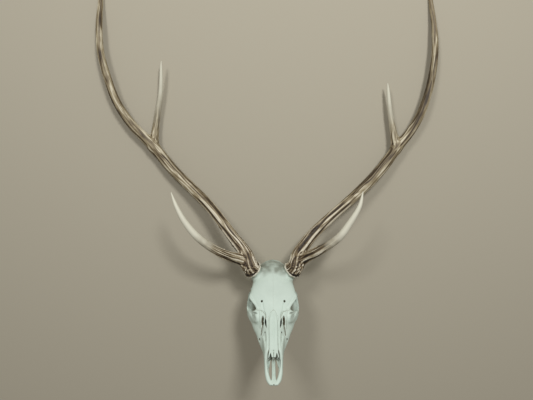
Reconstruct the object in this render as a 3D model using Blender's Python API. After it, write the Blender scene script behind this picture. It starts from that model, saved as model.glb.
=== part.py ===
"""Skull and antlers of an adult axis deer, or chital, without the lower jaw.

The skull is modelled in its own frame, in millimetres: X to the animal's left, Y back from the
front of the premaxillae, Z up from the palate. The empty named rest_pose then lays it down as
it rests on a floor: on the occipital condyles and the backs of both antlers, nose up.
"""
import math

import bmesh
import bpy
import numpy as np
from mathutils import Matrix, Vector

MM = 0.001
GAP = 0.3                       # width of every cut between two bones
SLIVER = 0.004                  # edges shorter than this are left by a cut, and come out

# ---------------------------------------------------------------- driving sizes, millimetres
ORBIT_CENTRE = (47.0, 161.0, 46.5)
ORBIT_RADII = (27.0, 20.5, 18.0)
RIM_SIZE = (21.8, 18.6)         # the rim of the orbit, half its length and half its height
RIM_RADIUS = 2.7
RIM_STEPS = 14                  # straight lengths round the rim
PALATE_END = 150.0
TOOTH_ROW_START = 76.0
TOOTH_LENGTHS = (10.0, 10.5, 10.5, 12.5, 14.5, 14.5)   # three premolars, three molars
FORAMEN_MAGNUM_RADIUS = 9.0
BURR_RADIUS = 20.5
BURR_HEIGHT = 8.0
PEDICLE_LENGTH = 15.0

# Stations of the lofts: distance from the front, half width, the heights of the lowest, the
# widest and the highest point of the section, and how square it is above and below the widest.
CRANIUM = (
    (50, 13.0, 12, 22, 38.3, 2.2, 2.0),
    (62, 15.5, 7, 20, 41, 2.2, 2.2),
    (76, 18.0, 7, 21, 44.5, 2.1, 2.2),
    (92, 22.0, 7, 25, 48.5, 2.0, 2.2),
    (108, 27.0, 8, 32, 53, 1.9, 2.0),
    (122, 31.0, 10, 42, 58, 1.9, 1.8),
    (134, 35.0, 13, 52, 63, 2.2, 1.6),
    (146, 41.5, 18, 60, 69, 2.6, 1.5),
    (157, 48.5, 22, 65, 74.5, 2.8, 1.35),
    (168, 48.6, 22, 68, 80, 2.8, 1.35),
    (180, 45.0, 19, 70, 86, 2.6, 1.5),
    (192, 42.0, 14, 68, 91, 2.4, 1.8),
    (204, 39.0, 9, 60, 95, 2.2, 2.1),
    (216, 37.5, 5.5, 52, 96, 2.1, 2.4),
    (228, 37.0, 4, 47, 93.5, 2.0, 2.5),
    (240, 36.5, 4, 42, 87, 2.0, 2.6),
    (250, 35.0, 5, 38, 78.5, 2.0, 2.6),
    (258, 31.0, 9, 36, 69, 2.0, 2.4),
    (261, 26.0, 13, 36, 64, 2.0, 2.2),
)
CHEEKS = (
    (54, 16.5, 3, 12, 32, 1.7, 2.6),
    (64, 20.5, 3, 13, 35, 1.7, 2.6),
    (74, 25.0, 4, 15, 37, 1.7, 2.6),
    (86, 30.0, 5, 18, 40, 1.7, 2.6),
    (100, 34.8, 6, 21, 44, 1.7, 2.6),
    (114, 38.3, 7, 24, 48, 1.7, 2.6),
    (128, 42.0, 9, 27, 50, 1.7, 2.6),
    (140, 44.0, 12, 29, 48, 1.7, 2.6),
    (150, 38.0, 16, 29, 40, 1.7, 2.6),
    (154, 31.0, 17, 28, 37, 1.7, 2.6),
)
# Bars: centre x, y, z with half thickness across and half height.
PREMAXILLA_BAR = (
    (4.4, -1.6, 4.2, 3.2, 2.2),
    (8.4, 5.0, 5.0, 4.4, 3.6),
    (12.0, 15.0, 7.0, 4.2, 5.0),
    (13.5, 27.0, 10.0, 4.0, 7.4),
    (14.0, 40.0, 14.0, 3.9, 10.8),
    (14.2, 57.0, 19.0, 3.6, 14.5),
)
PALATINE_BAR = (
    (2.9, -1.0, 4.4, 2.5, 2.4),
    (2.2, 8.0, 5.0, 1.9, 2.6),
    (1.95, 26.0, 6.0, 1.6, 2.6),
    (2.2, 46.0, 8.0, 2.0, 3.0),
    (3.0, 62.0, 9.0, 2.8, 3.0),
)
NASAL_TIP = (
    (3.9, 36.6, 35.6, 1.4, 1.0),
    (4.6, 42.0, 36.3, 3.6, 1.9),
    (4.9, 50.0, 37.2, 4.5, 2.5),
    (5.0, 62.0, 39.4, 4.8, 3.0),
)
ZYGOMATIC_BAR = (
    (37.5, 121.0, 27.0, 3.0, 8.0),
    (43.0, 131.0, 28.0, 3.4, 10.0),
    (48.6, 142.0, 28.8, 3.4, 9.6),
    (52.2, 154.0, 29.5, 2.8, 8.2),
    (53.0, 168.0, 30.5, 2.4, 6.8),
    (50.2, 183.0, 32.5, 2.3, 6.6),
    (46.6, 195.0, 34.0, 2.4, 5.4),
    (43.0, 206.0, 35.0, 3.2, 4.8),
    (35.0, 214.0, 35.5, 6.0, 5.0),
)
ORBITAL_FLOOR = (
    (38.0, 134.0, 27.0, 11.0, 12.0),
    (41.0, 150.0, 26.0, 12.0, 9.5),
    (43.5, 164.0, 27.0, 10.0, 6.5),
    (48.0, 175.0, 29.0, 4.5, 4.0),
)
PTERYGOID_PLATE = (
    (13.5, 138.0, 10.0, 3.0, 6.0),
    (12.5, 152.0, 12.0, 1.8, 13.0),
    (11.5, 166.0, 12.0, 1.6, 15.5),
    (11.5, 178.0, 9.0, 1.6, 15.0),
    (13.0, 192.0, 14.0, 2.2, 7.0),
)
ALVEOLAR_RIDGE = (
    (14.5, 64.0, 9.0, 2.5, 3.0),
    (16.0, 74.0, 7.0, 5.0, 5.0),
    (21.0, 110.0, 6.0, 8.0, 6.5),
    (24.5, 144.0, 6.0, 8.0, 6.5),
    (25.5, 153.0, 9.0, 6.0, 5.0),
)
PAROCCIPITAL = ((25.0, 243.0, 26.0), (27.5, 241.0, 8.0), (27.0, 239.0, -6.0), (25.5, 237.0, -17.0))

# Sutures, where the bones part: lines across the skull from the side, as y and z.
PREMAXILLA_SUTURE = ((46, -6), (43, 6), (55, 22), (65.6, 37), (73, 50))
NASAL_FLOOR = ((28, 30.6), (123.3, 46.7))
NASAL_HALF_WIDTH = 8.6
FRONTAL_SUTURE = (
    (112, 75), (117, 52), (124, 46), (140, 44), (165, 46), (186, 56), (205, 63), (226, 70),
    (231, 84), (232, 108),
)
SPHENOID_SUTURE = ((157, -22), (155, 12), (158, 30), (157, 45.4))
TEMPORAL_SUTURE = ((181, 46), (186, 34), (192, 22))
# The cheekbone's border from above, as x and y.
ZYGOMATIC_SUTURE = ((62, 127), (39, 131), (37, 143), (37, 160))
# One point near the middle of each bone.
BONES = {
    "braincase": (0, 215, 35),
    "frontal_left": (22, 175, 75), "frontal_right": (-22, 175, 75),
    "nasal_left": (5, 80, 42), "nasal_right": (-5, 80, 42),
    "maxilla_left": (20, 105, 20), "maxilla_right": (-20, 105, 20),
    "premaxilla_left": (9, 25, 9), "premaxilla_right": (-9, 25, 9),
    "zygomatic_left": (50, 158, 32), "zygomatic_right": (-50, 158, 32),
}

# Antlers: centre lines in the skull's frame, and the radius along them.
BURR_CENTRE = {"left": (40.2, 208.5, 91.6), "right": (-41.2, 208.5, 92.0)}
BURR_AXIS = (0.58, 0.0, 0.815)
BEAM = {
    "left": (
        (56, 231, 119), (84, 257, 147), (127, 287, 175), (180, 321, 206), (232, 354, 246),
        (272, 384, 290), (302, 402, 324), (323, 420, 364), (337, 446, 412), (344, 477, 465),
        (342, 510, 512), (335, 543.5, 556.5), (328, 564.5, 596.5),
    ),
    "right": (
        (-59, 231, 120), (-88, 257, 147), (-134, 301, 187), (-177, 334, 216), (-218, 359, 247),
        (-265, 390, 294), (-307, 409, 334), (-336, 428, 378), (-354, 453, 426), (-366, 481, 474),
        (-367, 510, 519), (-365, 544, 560), (-358, 582, 634),
    ),
}
BEAM_RADIUS = (
    (0.0, 17.0), (0.04, 14.5), (0.1, 12.6), (0.3, 11.4), (0.45, 11.6), (0.52, 10.2),
    (0.65, 8.4), (0.78, 7.0), (0.88, 5.6), (0.96, 3.4), (1.0, 0.9),
)
BROW_TINE = {
    "left": (
        (52, 222, 106), (64, 214, 119), (97, 202, 157), (129, 199, 191), (149, 209, 219),
        (167, 224, 248), (175, 244, 271),
    ),
    "right": (
        (-54, 222, 106), (-67, 213, 117), (-104, 198, 150), (-145, 196, 190), (-171, 207, 221),
        (-188, 223, 248), (-200, 243, 270),
    ),
}
BROW_RADIUS = ((0.0, 12.0), (0.15, 10.6), (0.35, 8.9), (0.6, 7.2), (0.8, 5.2), (0.93, 3.0), (1.0, 0.8))
INNER_TINE = {
    "left": ((270, 384, 288), (263, 404, 322), (255, 422, 355), (249, 440, 392), (246, 448, 412)),
    "right": (
        (-262, 389, 288), (-258, 411, 318), (-250, 430, 357), (-242, 447, 397), (-237, 467, 453),
    ),
}
INNER_RADIUS = ((0.0, 10.0), (0.25, 7.4), (0.5, 5.6), (0.75, 4.2), (0.92, 2.6), (1.0, 0.8))
END_LENGTH = 1.0                # of a cut end that is straight
FORK_CLEARANCE = 7.0            # a fork is cut where its two arms stand this far apart

COLOURS = {
    "bleached_bone": ((0.80, 0.80, 0.74), 0.6),
    "antler": ((0.36, 0.28, 0.20), 0.7),
}


# ---------------------------------------------------------------- making shapes
def clear_scene():
    for old in list(bpy.data.objects):
        bpy.data.objects.remove(old, do_unlink=True)


def collection(name):
    made = bpy.data.collections.new(name)
    bpy.context.scene.collection.children.link(made)
    return made


def material(name):
    colour, roughness = COLOURS[name]
    made = bpy.data.materials.get(name) or bpy.data.materials.new(name)
    made.use_nodes = True
    shader = made.node_tree.nodes["Principled BSDF"]
    shader.inputs["Base Color"].default_value = (*colour, 1.0)
    shader.inputs["Roughness"].default_value = roughness
    return made


def add_object(name, mesh, group):
    made = bpy.data.objects.new(name, mesh)
    group.objects.link(made)
    return made


def helper(name, mesh):
    """An object that only shapes others: it isn't part of the model."""
    made = add_object(name, mesh, helpers)
    made.hide_render = True
    made.display_type = "WIRE"
    return made


def mesh_from(name, points, faces):
    made = bpy.data.meshes.new(name)
    made.from_pydata([tuple(MM * value for value in point) for point in points], [], faces)
    shell = bmesh.new()
    shell.from_mesh(made)
    bmesh.ops.recalc_face_normals(shell, faces=shell.faces)
    shell.to_mesh(made)
    shell.free()
    return made


def rings_mesh(name, rings):
    """A closed skin over rings of equal counts, with a flat cap on each end."""
    count = len(rings[0])
    points = [point for ring in rings for point in ring]
    faces = []
    for at in range(len(rings) - 1):
        for side in range(count):
            turn = (side + 1) % count
            a, b = at * count + side, at * count + turn
            faces.append((a, b, b + count, a + count))
    faces.append(tuple(range(count))[::-1])
    faces.append(tuple(range(len(points) - count, len(points))))
    return mesh_from(name, points, faces)


def power(value, exponent):
    return math.copysign(abs(value) ** exponent, value)


def section(x, y, half_width, low, wide, high, crown, keel, sides):
    """A ring across Y. Above the widest height its shape follows crown, and below it keel:
    2 is an ellipse, more is boxier, less is a wedge."""
    ring = []
    for step in range(sides):
        angle = 2 * math.pi * step / sides
        across, up = math.cos(angle), math.sin(angle)
        squareness = crown if up >= 0 else keel
        reach = high - wide if up >= 0 else wide - low
        ring.append((
            x + half_width * power(across, 2 / squareness),
            y,
            wide + reach * power(up, 2 / squareness),
        ))
    return ring


def loft(name, stations, sides=16):
    return rings_mesh(name, [
        section(0.0, y, half, low, wide, high, crown, keel, sides)
        for y, half, low, wide, high, crown, keel in stations
    ])


def bar(name, stations, side, squareness=2.4, sides=8):
    rings = [
        section(side * x, y, thick, z - tall, z, z + tall, squareness, squareness, sides)
        for x, y, z, thick, tall in stations
    ]
    return rings_mesh(name, rings)


def ellipsoid(name, centre, radii, segments=16, turn=0.0):
    ball = bmesh.new()
    bmesh.ops.create_uvsphere(ball, u_segments=segments, v_segments=segments // 2, radius=1.0)
    made = bpy.data.meshes.new(name)
    ball.to_mesh(made)
    ball.free()
    size = Matrix.Diagonal((*(MM * radius for radius in radii), 1.0))
    place = Matrix.Translation([MM * value for value in centre])
    made.transform(place @ Matrix.Rotation(turn, 4, "X") @ size)
    return made


def block(name, low, high):
    cube = bmesh.new()
    bmesh.ops.create_cube(cube, size=1.0)
    low, high = np.array(low, float), np.array(high, float)
    for corner in cube.verts:
        corner.co = Vector(MM * ((low + high) / 2 + np.array(corner.co) * (high - low)))
    made = bpy.data.meshes.new(name)
    cube.to_mesh(made)
    cube.free()
    return made


def turned(name, profile, centre, axis, sides=16, knobs=0.0):
    """A profile of (radius, height) turned about an axis through the centre."""
    axis = Vector(axis).normalized()
    frame = axis.to_track_quat("Z", "Y").to_matrix()
    rings = []
    for radius, height in profile:
        ring = []
        for step in range(sides):
            angle = 2 * math.pi * step / sides
            reach = radius + knobs * (radius > 0.9 * BURR_RADIUS) * (1 if step % 2 else -1)
            local = Vector((reach * math.cos(angle), reach * math.sin(angle), height))
            ring.append(tuple(Vector(centre) + frame @ local))
        rings.append(ring)
    return rings_mesh(name, rings)


def route(points, fractions):
    """Points on a smooth curve through the given ones, at fractions of its length."""
    knots = np.array(points, float)
    padded = np.vstack([2 * knots[0] - knots[1], knots, 2 * knots[-1] - knots[-2]])
    fine = []
    for at in range(1, len(padded) - 2):
        before, here, there, after = padded[at - 1:at + 3]
        for t in np.arange(0, 1, 0.05):
            fine.append(0.5 * (
                2 * here + (there - before) * t
                + (2 * before - 5 * here + 4 * there - after) * t ** 2
                + (3 * here - before - 3 * there + after) * t ** 3
            ))
    fine = np.array(fine + [knots[-1]])
    length = np.r_[0, np.cumsum(np.linalg.norm(np.diff(fine, axis=0), axis=1))]
    wanted = np.asarray(fractions) * length[-1]
    return np.stack([np.interp(wanted, length, fine[:, axis]) for axis in range(3)], axis=1)


def route_length(points):
    fine = route(points, np.linspace(0, 1, 200))
    return float(np.linalg.norm(np.diff(fine, axis=0), axis=1).sum())


def tube(name, points, radii, resolution=3, ring=False):
    """A round tapering tube with closed ends, or a ring of it, as a mesh."""
    curve = bpy.data.curves.new(name, "CURVE")
    curve.dimensions = "3D"
    curve.bevel_depth = MM
    curve.bevel_resolution = resolution
    curve.use_fill_caps = True
    spline = curve.splines.new("POLY")
    spline.points.add(len(points) - 1)
    spline.use_cyclic_u = ring
    for knot, place, radius in zip(spline.points, points, radii):
        knot.co = (*(MM * value for value in place), 1.0)
        knot.radius = radius
    source = add_object(name, curve, helpers)
    made = mesh_of(source, weld=0.01)
    bpy.data.objects.remove(source)
    return made


def mesh_of(source, weld=0.0):
    """The object's mesh with its modifiers applied and points closer than weld joined."""
    graph = bpy.context.evaluated_depsgraph_get()
    made = bpy.data.meshes.new_from_object(source.evaluated_get(graph))
    shell = bmesh.new()
    shell.from_mesh(made)
    if weld:
        bmesh.ops.remove_doubles(shell, verts=shell.verts, dist=weld * MM)
        bmesh.ops.recalc_face_normals(shell, faces=shell.faces)
    shell.to_mesh(made)
    shell.free()
    return made


def combine(name, base, joined=(), cut=()):
    """One mesh from a base, the meshes joined to it, and those cut out of it. The thin cuts and
    the many crossing bones leave slivers that only the manifold solver keeps closed."""
    body = helper(name, base)
    for operation, others in (("UNION", joined), ("DIFFERENCE", cut)):
        for at, other in enumerate(others):
            modifier = body.modifiers.new(f"{operation.lower()}_{at}", "BOOLEAN")
            modifier.operation = operation
            modifier.solver = "MANIFOLD"
            modifier.object = helper(f"{name}_{operation.lower()}_{at}", other)
    made = mesh_of(body)
    for spare in [entry for entry in helpers.objects if entry.name.startswith(name)]:
        bpy.data.objects.remove(spare)
    return made


def sheet(name, line, low, high, plane="YZ"):
    """A thin cutter along a line in the named plane, from low to high across it."""
    line = np.array(line, float)
    along = np.gradient(line, axis=0)
    normal = np.stack([-along[:, 1], along[:, 0]], axis=1)
    normal /= np.linalg.norm(normal, axis=1)[:, None]
    outline = np.vstack([line + normal * GAP / 2, (line - normal * GAP / 2)[::-1]])
    if plane == "YZ":
        rings = [[(depth, y, z) for y, z in outline] for depth in (low, high)]
    else:
        rings = [[(x, y, depth) for x, y in outline] for depth in (low, high)]
    return rings_mesh(name, rings)


def bodies_of(mesh):
    """The separate bodies of a mesh, the largest first, each with its middle."""
    shell = bmesh.new()
    shell.from_mesh(mesh)
    shell.verts.ensure_lookup_table()
    label, count = [-1] * len(shell.verts), 0
    for seed in shell.verts:
        if label[seed.index] >= 0:
            continue
        label[seed.index], front = count, [seed]
        while front:
            here = front.pop()
            for edge in here.link_edges:
                there = edge.other_vert(here)
                if label[there.index] < 0:
                    label[there.index] = count
                    front.append(there)
        count += 1
    bodies = []
    for number in range(count):
        one = shell.copy()
        one.verts.ensure_lookup_table()
        others = [vert for vert in one.verts if label[vert.index] != number]
        bmesh.ops.delete(one, geom=others, context="VERTS")
        bmesh.ops.dissolve_degenerate(one, dist=SLIVER * MM, edges=one.edges)
        places = np.array([tuple(vert.co) for vert in one.verts]) / MM
        made = bpy.data.meshes.new("body")
        one.to_mesh(made)
        bodies.append((one.calc_volume(), (places.min(axis=0) + places.max(axis=0)) / 2, made))
        one.free()
    shell.free()
    bodies.sort(key=lambda body: -body[0])
    return bodies


def part(name, mesh, finish):
    """A finished piece of the model, laid down with the rest."""
    made = add_object(name, mesh, model)
    made.data.materials.clear()
    made.data.materials.append(material(finish))
    made.data.shade_smooth()
    made.data.set_sharp_from_angle(angle=math.radians(35))
    made.parent = rest_pose
    return made


# ---------------------------------------------------------------- skull
def both(make):
    """The same shape for the left side and the right one."""
    return [make(side) for side in (1, -1)]


def mirrored(points, side):
    return [(side * x, y, z) for x, y, z in points]


def tooth_row(side):
    """Six cheek teeth, joined side by side, in their bony ridge."""
    teeth, y = [], TOOTH_ROW_START
    for number, length in enumerate(TOOTH_LENGTHS):
        outer = 20.5 + 0.165 * (y - TOOTH_ROW_START)
        width = 9.5 + 1.2 * number
        crown = -7.0 - 0.7 * number
        low = (min(side * outer, side * (outer - width)), y + 0.2, crown)
        high = (max(side * outer, side * (outer - width)), y + length - 0.2, 9.0)
        teeth.append(block(f"tooth_{number}", low, high))
        y += length
    return teeth


def orbital_rim(side):
    """The bony ring round the eye socket. It leans: its front lies nearer the midline."""
    points = []
    for step in range(RIM_STEPS):
        turn = 2 * math.pi * step / RIM_STEPS
        x = 48.3 + 5.0 * math.cos(turn) - 2.2 * math.sin(turn) - 2.2 * math.cos(2 * turn)
        points.append((
            side * x,
            ORBIT_CENTRE[1] + RIM_SIZE[0] * math.cos(turn),
            ORBIT_CENTRE[2] + 1.5 + RIM_SIZE[1] * math.sin(turn),
        ))
    return tube("orbital_rim", points, [RIM_RADIUS] * len(points), resolution=1, ring=True)


def whole_skull():
    """The skull in one piece, before it is parted into its bones."""
    joined = [loft("cheeks", CHEEKS, sides=14)]
    joined += both(lambda side: ellipsoid("lacrimal", (side * 34.0, 130.0, 44.0), (9.5, 16.0, 13.0), 10))
    joined += both(lambda side: bar("orbital_floor", ORBITAL_FLOOR, side, sides=6))
    joined += both(lambda side: bar("ridge", ALVEOLAR_RIDGE, side, squareness=3.0))
    for side in (1, -1):
        joined += tooth_row(side)
    joined += both(lambda side: bar("pterygoid", PTERYGOID_PLATE, side, sides=6))
    joined += both(lambda side: ellipsoid("bulla", (side * 20.0, 216.0, 5.0), (8.5, 13.0, 10.0), 10))
    joined += both(lambda side: tube(
        "paroccipital", mirrored(PAROCCIPITAL, side), (7.0, 5.5, 4.0, 2.2), resolution=2))
    joined += both(lambda side: tube(
        "ear_canal", mirrored(((26, 222, 22), (36.5, 224, 27), (39.5, 225, 29)), side),
        (6.0, 5.0, 4.4), resolution=1))
    cut = both(lambda side: ellipsoid(
        "orbit", (side * ORBIT_CENTRE[0], *ORBIT_CENTRE[1:]), ORBIT_RADII, 14))
    cut += both(lambda side: ellipsoid(
        "temporal_fossa", (side * 50.0, 200.0, 42.0), (16.0, 17.0, 22.0), 10))
    cut.append(bar("nasal_cavity", (
        (0.0, 38.0, 20.5, 9.8, 11.5),
        (0.0, 56.0, 22.5, 10.4, 12.0),
        (0.0, 84.0, 26.0, 9.0, 10.0),
    ), 1, sides=12))
    cut.append(bar("choanae", (
        (0.0, PALATE_END, 13.0, 8.0, 5.0),
        (0.0, 166.0, 13.0, 9.0, 7.5),
    ), 1, sides=8))
    core = combine("skull_core", loft("cranium", CRANIUM), joined, cut)

    added = both(lambda side: bar("zygomatic_bar", ZYGOMATIC_BAR, side))
    added += both(orbital_rim)
    added += both(lambda side: bar("premaxilla_bar", PREMAXILLA_BAR, side))
    added += both(lambda side: bar("palatine_bar", PALATINE_BAR, side))
    added += both(lambda side: bar("nasal_tip", NASAL_TIP, side))
    added += both(lambda side: ellipsoid(
        "condyle", (side * 12.0, 257.0, 15.0), (8.5, 9.0, 11.0), 10, turn=math.radians(-20)))
    for name in ("left", "right"):
        added.append(pedicle(name))
    foramen = tube("foramen_magnum", ((0, 236, 21), (0, 256, 24), (0, 275, 26)),
                   (8.0, FORAMEN_MAGNUM_RADIUS, FORAMEN_MAGNUM_RADIUS + 1), resolution=3)
    return combine("skull_whole", core, added, [foramen])


def suture_cutters():
    """The thin cuts that part the skull into its bones."""
    floor, half = NASAL_FLOOR, NASAL_HALF_WIDTH
    midline = [(-12, -25), *SPHENOID_SUTURE, *FRONTAL_SUTURE[4:], (-12, 108)]
    cutters = [
        rings_mesh("midline", [[(x, y, z) for y, z in midline] for x in (-GAP / 2, GAP / 2)]),
        sheet("premaxilla_suture", PREMAXILLA_SUTURE[:-1], -half, half),
        sheet("nasal_floor", floor, -half, half),
        sheet("frontal_suture", FRONTAL_SUTURE, -70, 70),
        sheet("sphenoid_suture", SPHENOID_SUTURE, -37.2, 37.2),
    ]
    side_wall = [*floor, FRONTAL_SUTURE[1], FRONTAL_SUTURE[0], (28, 75)]
    for side in (1, -1):
        near, far = sorted(side * (half + offset) for offset in (-GAP / 2, GAP / 2))
        cutters.append(rings_mesh("nasal_side", [
            [(x, y, z) for y, z in side_wall] for x in (near, far)]))
        cutters.append(sheet("zygomatic_suture", [
            (side * x, y) for x, y in ZYGOMATIC_SUTURE], 4, 45.4, plane="XY"))
        cutters.append(sheet(
            "temporal_suture", TEMPORAL_SUTURE, *sorted((side * 38, side * 62))))
        cutters.append(sheet(
            "premaxilla_side", PREMAXILLA_SUTURE, *sorted((side * (half - 0.1), side * 30))))
    return cutters


def bones():
    """The skull's bones, parted along their sutures, by name."""
    pieces = bodies_of(combine("skull_parted", whole_skull(), cut=suture_cutters()))[:len(BONES)]
    for name, place in BONES.items():
        nearest = min(pieces, key=lambda piece: np.linalg.norm(piece[1] - np.array(place)))
        pieces.remove(nearest)
        yield name, nearest[2]


def burr_axis(side):
    x, y, z = BURR_AXIS
    return Vector((x if side == "left" else -x, y, z)).normalized()


def pedicle(side):
    axis, centre = burr_axis(side), Vector(BURR_CENTRE[side])
    return turned("pedicle", (
        (19.0, -PEDICLE_LENGTH), (16.0, -0.55 * PEDICLE_LENGTH), (16.5, -GAP),
    ), centre, axis, sides=14)


# ---------------------------------------------------------------- antlers
def radius_at(profile, fractions):
    at, radii = zip(*profile)
    return np.interp(fractions, at, radii)


def stretch(name, points, profile, count, start=0.0, end=1.0, resolution=3):
    """The part of a beam or tine between two fractions of its length. A short length at each
    end follows the curve closely, so that the ends on either side of a cut stay parallel."""
    short = END_LENGTH / route_length(points)
    at = np.r_[start, np.linspace(start + short, end - short, count), end]
    return tube(name, route(points, at), radius_at(profile, at), resolution)


def crotch(main, branch, main_profile, branch_profile):
    """Where two arms of a fork have parted: the fractions of the main one and the branch."""
    steps = np.linspace(0, 1, 400)
    line, arm = route(main, steps), route(branch, steps)
    line_radius, arm_radius = radius_at(main_profile, steps), radius_at(branch_profile, steps)
    for at, place in enumerate(arm):
        distance = np.linalg.norm(line - place, axis=1)
        nearest = int(distance.argmin())
        if distance[nearest] > line_radius[nearest] + arm_radius[at] + FORK_CLEARANCE:
            return steps[nearest], steps[at]
    return 1.0, 1.0


def antler(side):
    axis, centre = burr_axis(side), Vector(BURR_CENTRE[side])
    root = [tuple(centre + axis * 3.0), tuple(centre + axis * 12.0)]
    beam = root + list(BEAM[side])
    brow = [tuple(centre + axis * 10.0)] + list(BROW_TINE[side])[1:]
    inner = INNER_TINE[side]
    beam_split, inner_split = crotch(beam, inner, BEAM_RADIUS, INNER_RADIUS)
    brow_split = crotch(beam, brow, BEAM_RADIUS, BROW_RADIUS)[1]
    burr = turned("burr", (
        (BURR_RADIUS - 3.0, 0.0), (BURR_RADIUS, 2.0), (BURR_RADIUS, 5.5),
        (BURR_RADIUS - 4.5, BURR_HEIGHT + 1.0),
    ), centre, axis, knobs=0.8)
    lower = combine("lower", stretch("beam", beam, BEAM_RADIUS, 14, end=beam_split), [
        burr,
        stretch("brow_root", brow, BROW_RADIUS, 6, end=brow_split),
        stretch("inner_root", inner, INNER_RADIUS, 5, end=inner_split),
    ])
    part(f"antler_{side}_lower_beam", lower, "antler")
    part(f"antler_{side}_brow_tine", stretch(
        "brow", brow, BROW_RADIUS, 8, start=brow_split + GAP / route_length(brow),
    ), "antler")
    part(f"antler_{side}_upper_beam", stretch(
        "upper", beam, BEAM_RADIUS, 11, start=beam_split + GAP / route_length(beam),
    ), "antler")
    part(f"antler_{side}_inner_tine", stretch(
        "inner", inner, INNER_RADIUS, 6, start=inner_split + GAP / route_length(inner),
    ), "antler")


# ---------------------------------------------------------------- laying it down
def lowest(points, tilt):
    return float((points[:, 2] * math.cos(tilt) - points[:, 1] * math.sin(tilt)).min())


def lay_down():
    """Tips the skull back until its condyles and the backs of the antlers touch the floor
    together, and puts the origin at the middle of the box's lower face."""
    clouds = {True: [], False: []}
    for piece in model.objects:
        if piece.type == "MESH":
            places = np.empty(3 * len(piece.data.vertices), np.float32)
            piece.data.vertices.foreach_get("co", places)
            clouds[piece.name.startswith("antler")].append(places.reshape(-1, 3).astype(float))
    antlers, skull = np.vstack(clouds[True]), np.vstack(clouds[False])
    least, most = math.radians(45), math.radians(80)
    for _ in range(30):
        tilt = (least + most) / 2
        if lowest(skull, tilt) < lowest(antlers, tilt):
            least = tilt
        else:
            most = tilt
    turn = Matrix.Rotation(-tilt, 3, "X")
    laid = np.vstack([antlers, skull]) @ np.array(turn).T
    middle = (laid.min(axis=0) + laid.max(axis=0)) / 2
    rest_pose.rotation_euler = (-tilt, 0.0, 0.0)
    rest_pose.location = (-middle[0], -middle[1], -laid[:, 2].min())


# ---------------------------------------------------------------- the model
clear_scene()
model = collection("axis_deer_skull")
helpers = collection("helpers")
rest_pose = bpy.data.objects.new("rest_pose", None)
model.objects.link(rest_pose)
for bone, bone_mesh in bones():
    part(bone, bone_mesh, "bleached_bone")
for antler_side in ("left", "right"):
    antler(antler_side)
lay_down()
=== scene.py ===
"""The looks of an axis deer's skull and antlers: bleached bone, worn teeth and furrowed antler.

Every shape is made in the skull's own frame, in millimetres: X to the animal's left, Y back
from the front of the premaxillae, Z up from the palate. It is then laid down as the solids are.
"""

import math

import bpy
import numpy as np
from mathutils import Matrix, Vector


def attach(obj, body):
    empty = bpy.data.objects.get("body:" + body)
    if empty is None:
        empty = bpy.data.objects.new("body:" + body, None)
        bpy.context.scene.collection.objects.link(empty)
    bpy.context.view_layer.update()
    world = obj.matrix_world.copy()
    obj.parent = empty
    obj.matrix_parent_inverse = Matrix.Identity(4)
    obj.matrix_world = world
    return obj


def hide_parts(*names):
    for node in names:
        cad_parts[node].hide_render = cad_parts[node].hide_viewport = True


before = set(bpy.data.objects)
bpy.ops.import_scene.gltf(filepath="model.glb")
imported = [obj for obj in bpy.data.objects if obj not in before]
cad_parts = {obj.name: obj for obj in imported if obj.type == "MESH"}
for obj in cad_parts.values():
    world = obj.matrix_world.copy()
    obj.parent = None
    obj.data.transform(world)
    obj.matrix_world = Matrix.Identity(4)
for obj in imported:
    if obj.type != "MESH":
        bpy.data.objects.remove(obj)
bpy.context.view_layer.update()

MM = 0.001
SIDES = {"left": 1, "right": -1}
SKULL_NODES = [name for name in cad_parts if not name.startswith("antler")]

# How the solids lie: tipped back about X, then moved.
REST_TURN = np.array(Matrix.Rotation(math.radians(-62.5551), 3, "X"))
REST_PLACE = (11.606, -415.9995, 230.0902)

# The camera, in the skull's frame: where it is, where it looks, and how long its lens is.
CAMERA_PLACE = (-13.6, -444.3, 750.6)
CAMERA_FORWARD = (0.0, 0.8091, -0.5878)
CAMERA_LENS = 29.04
SENSOR_WIDTH = 36.0
FLOOR_REACH = 30.0  # metres, so that no view shows its end near by

# The size of the faces of each surface.
BONE_STEP = 0.65
TOOTH_STEP = 0.4
ANTLER_STEP = 0.85

FAR = 40.0          # a distance that stands for empty space
TINY = 1e-4         # keeps a division from nought
SPARE = 4.0         # how far past its own reach and blend a form is worked out
STRAND_SPARE = 9.0  # and a strand, past its radius


# ---------------------------------------------------------------- numbers along and over shapes
def smooth_rows(rows, at):
    """Rows of numbers, each led by its place, read at other places along one smooth curve."""
    rows = np.array(rows, float)
    places, values = rows[:, 0], rows[:, 1:]
    steps = np.diff(places)
    slopes = np.diff(values, axis=0) / steps[:, None]
    tangents = np.empty_like(values)
    tangents[0], tangents[-1] = slopes[0], slopes[-1]
    before, after = steps[:-1, None], steps[1:, None]
    tangents[1:-1] = (slopes[:-1] * after + slopes[1:] * before) / (before + after)
    at = np.clip(np.asarray(at, float), places[0], places[-1])
    index = np.clip(np.searchsorted(places, at, side="right") - 1, 0, len(steps) - 1)
    length = steps[index][:, None]
    t = (at[:, None] - places[index][:, None]) / length
    return (
        (2 * t ** 3 - 3 * t ** 2 + 1) * values[index]
        + (t ** 3 - 2 * t ** 2 + t) * length * tangents[index]
        + (3 * t ** 2 - 2 * t ** 3) * values[index + 1]
        + (t ** 3 - t ** 2) * length * tangents[index + 1]
    )


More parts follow.
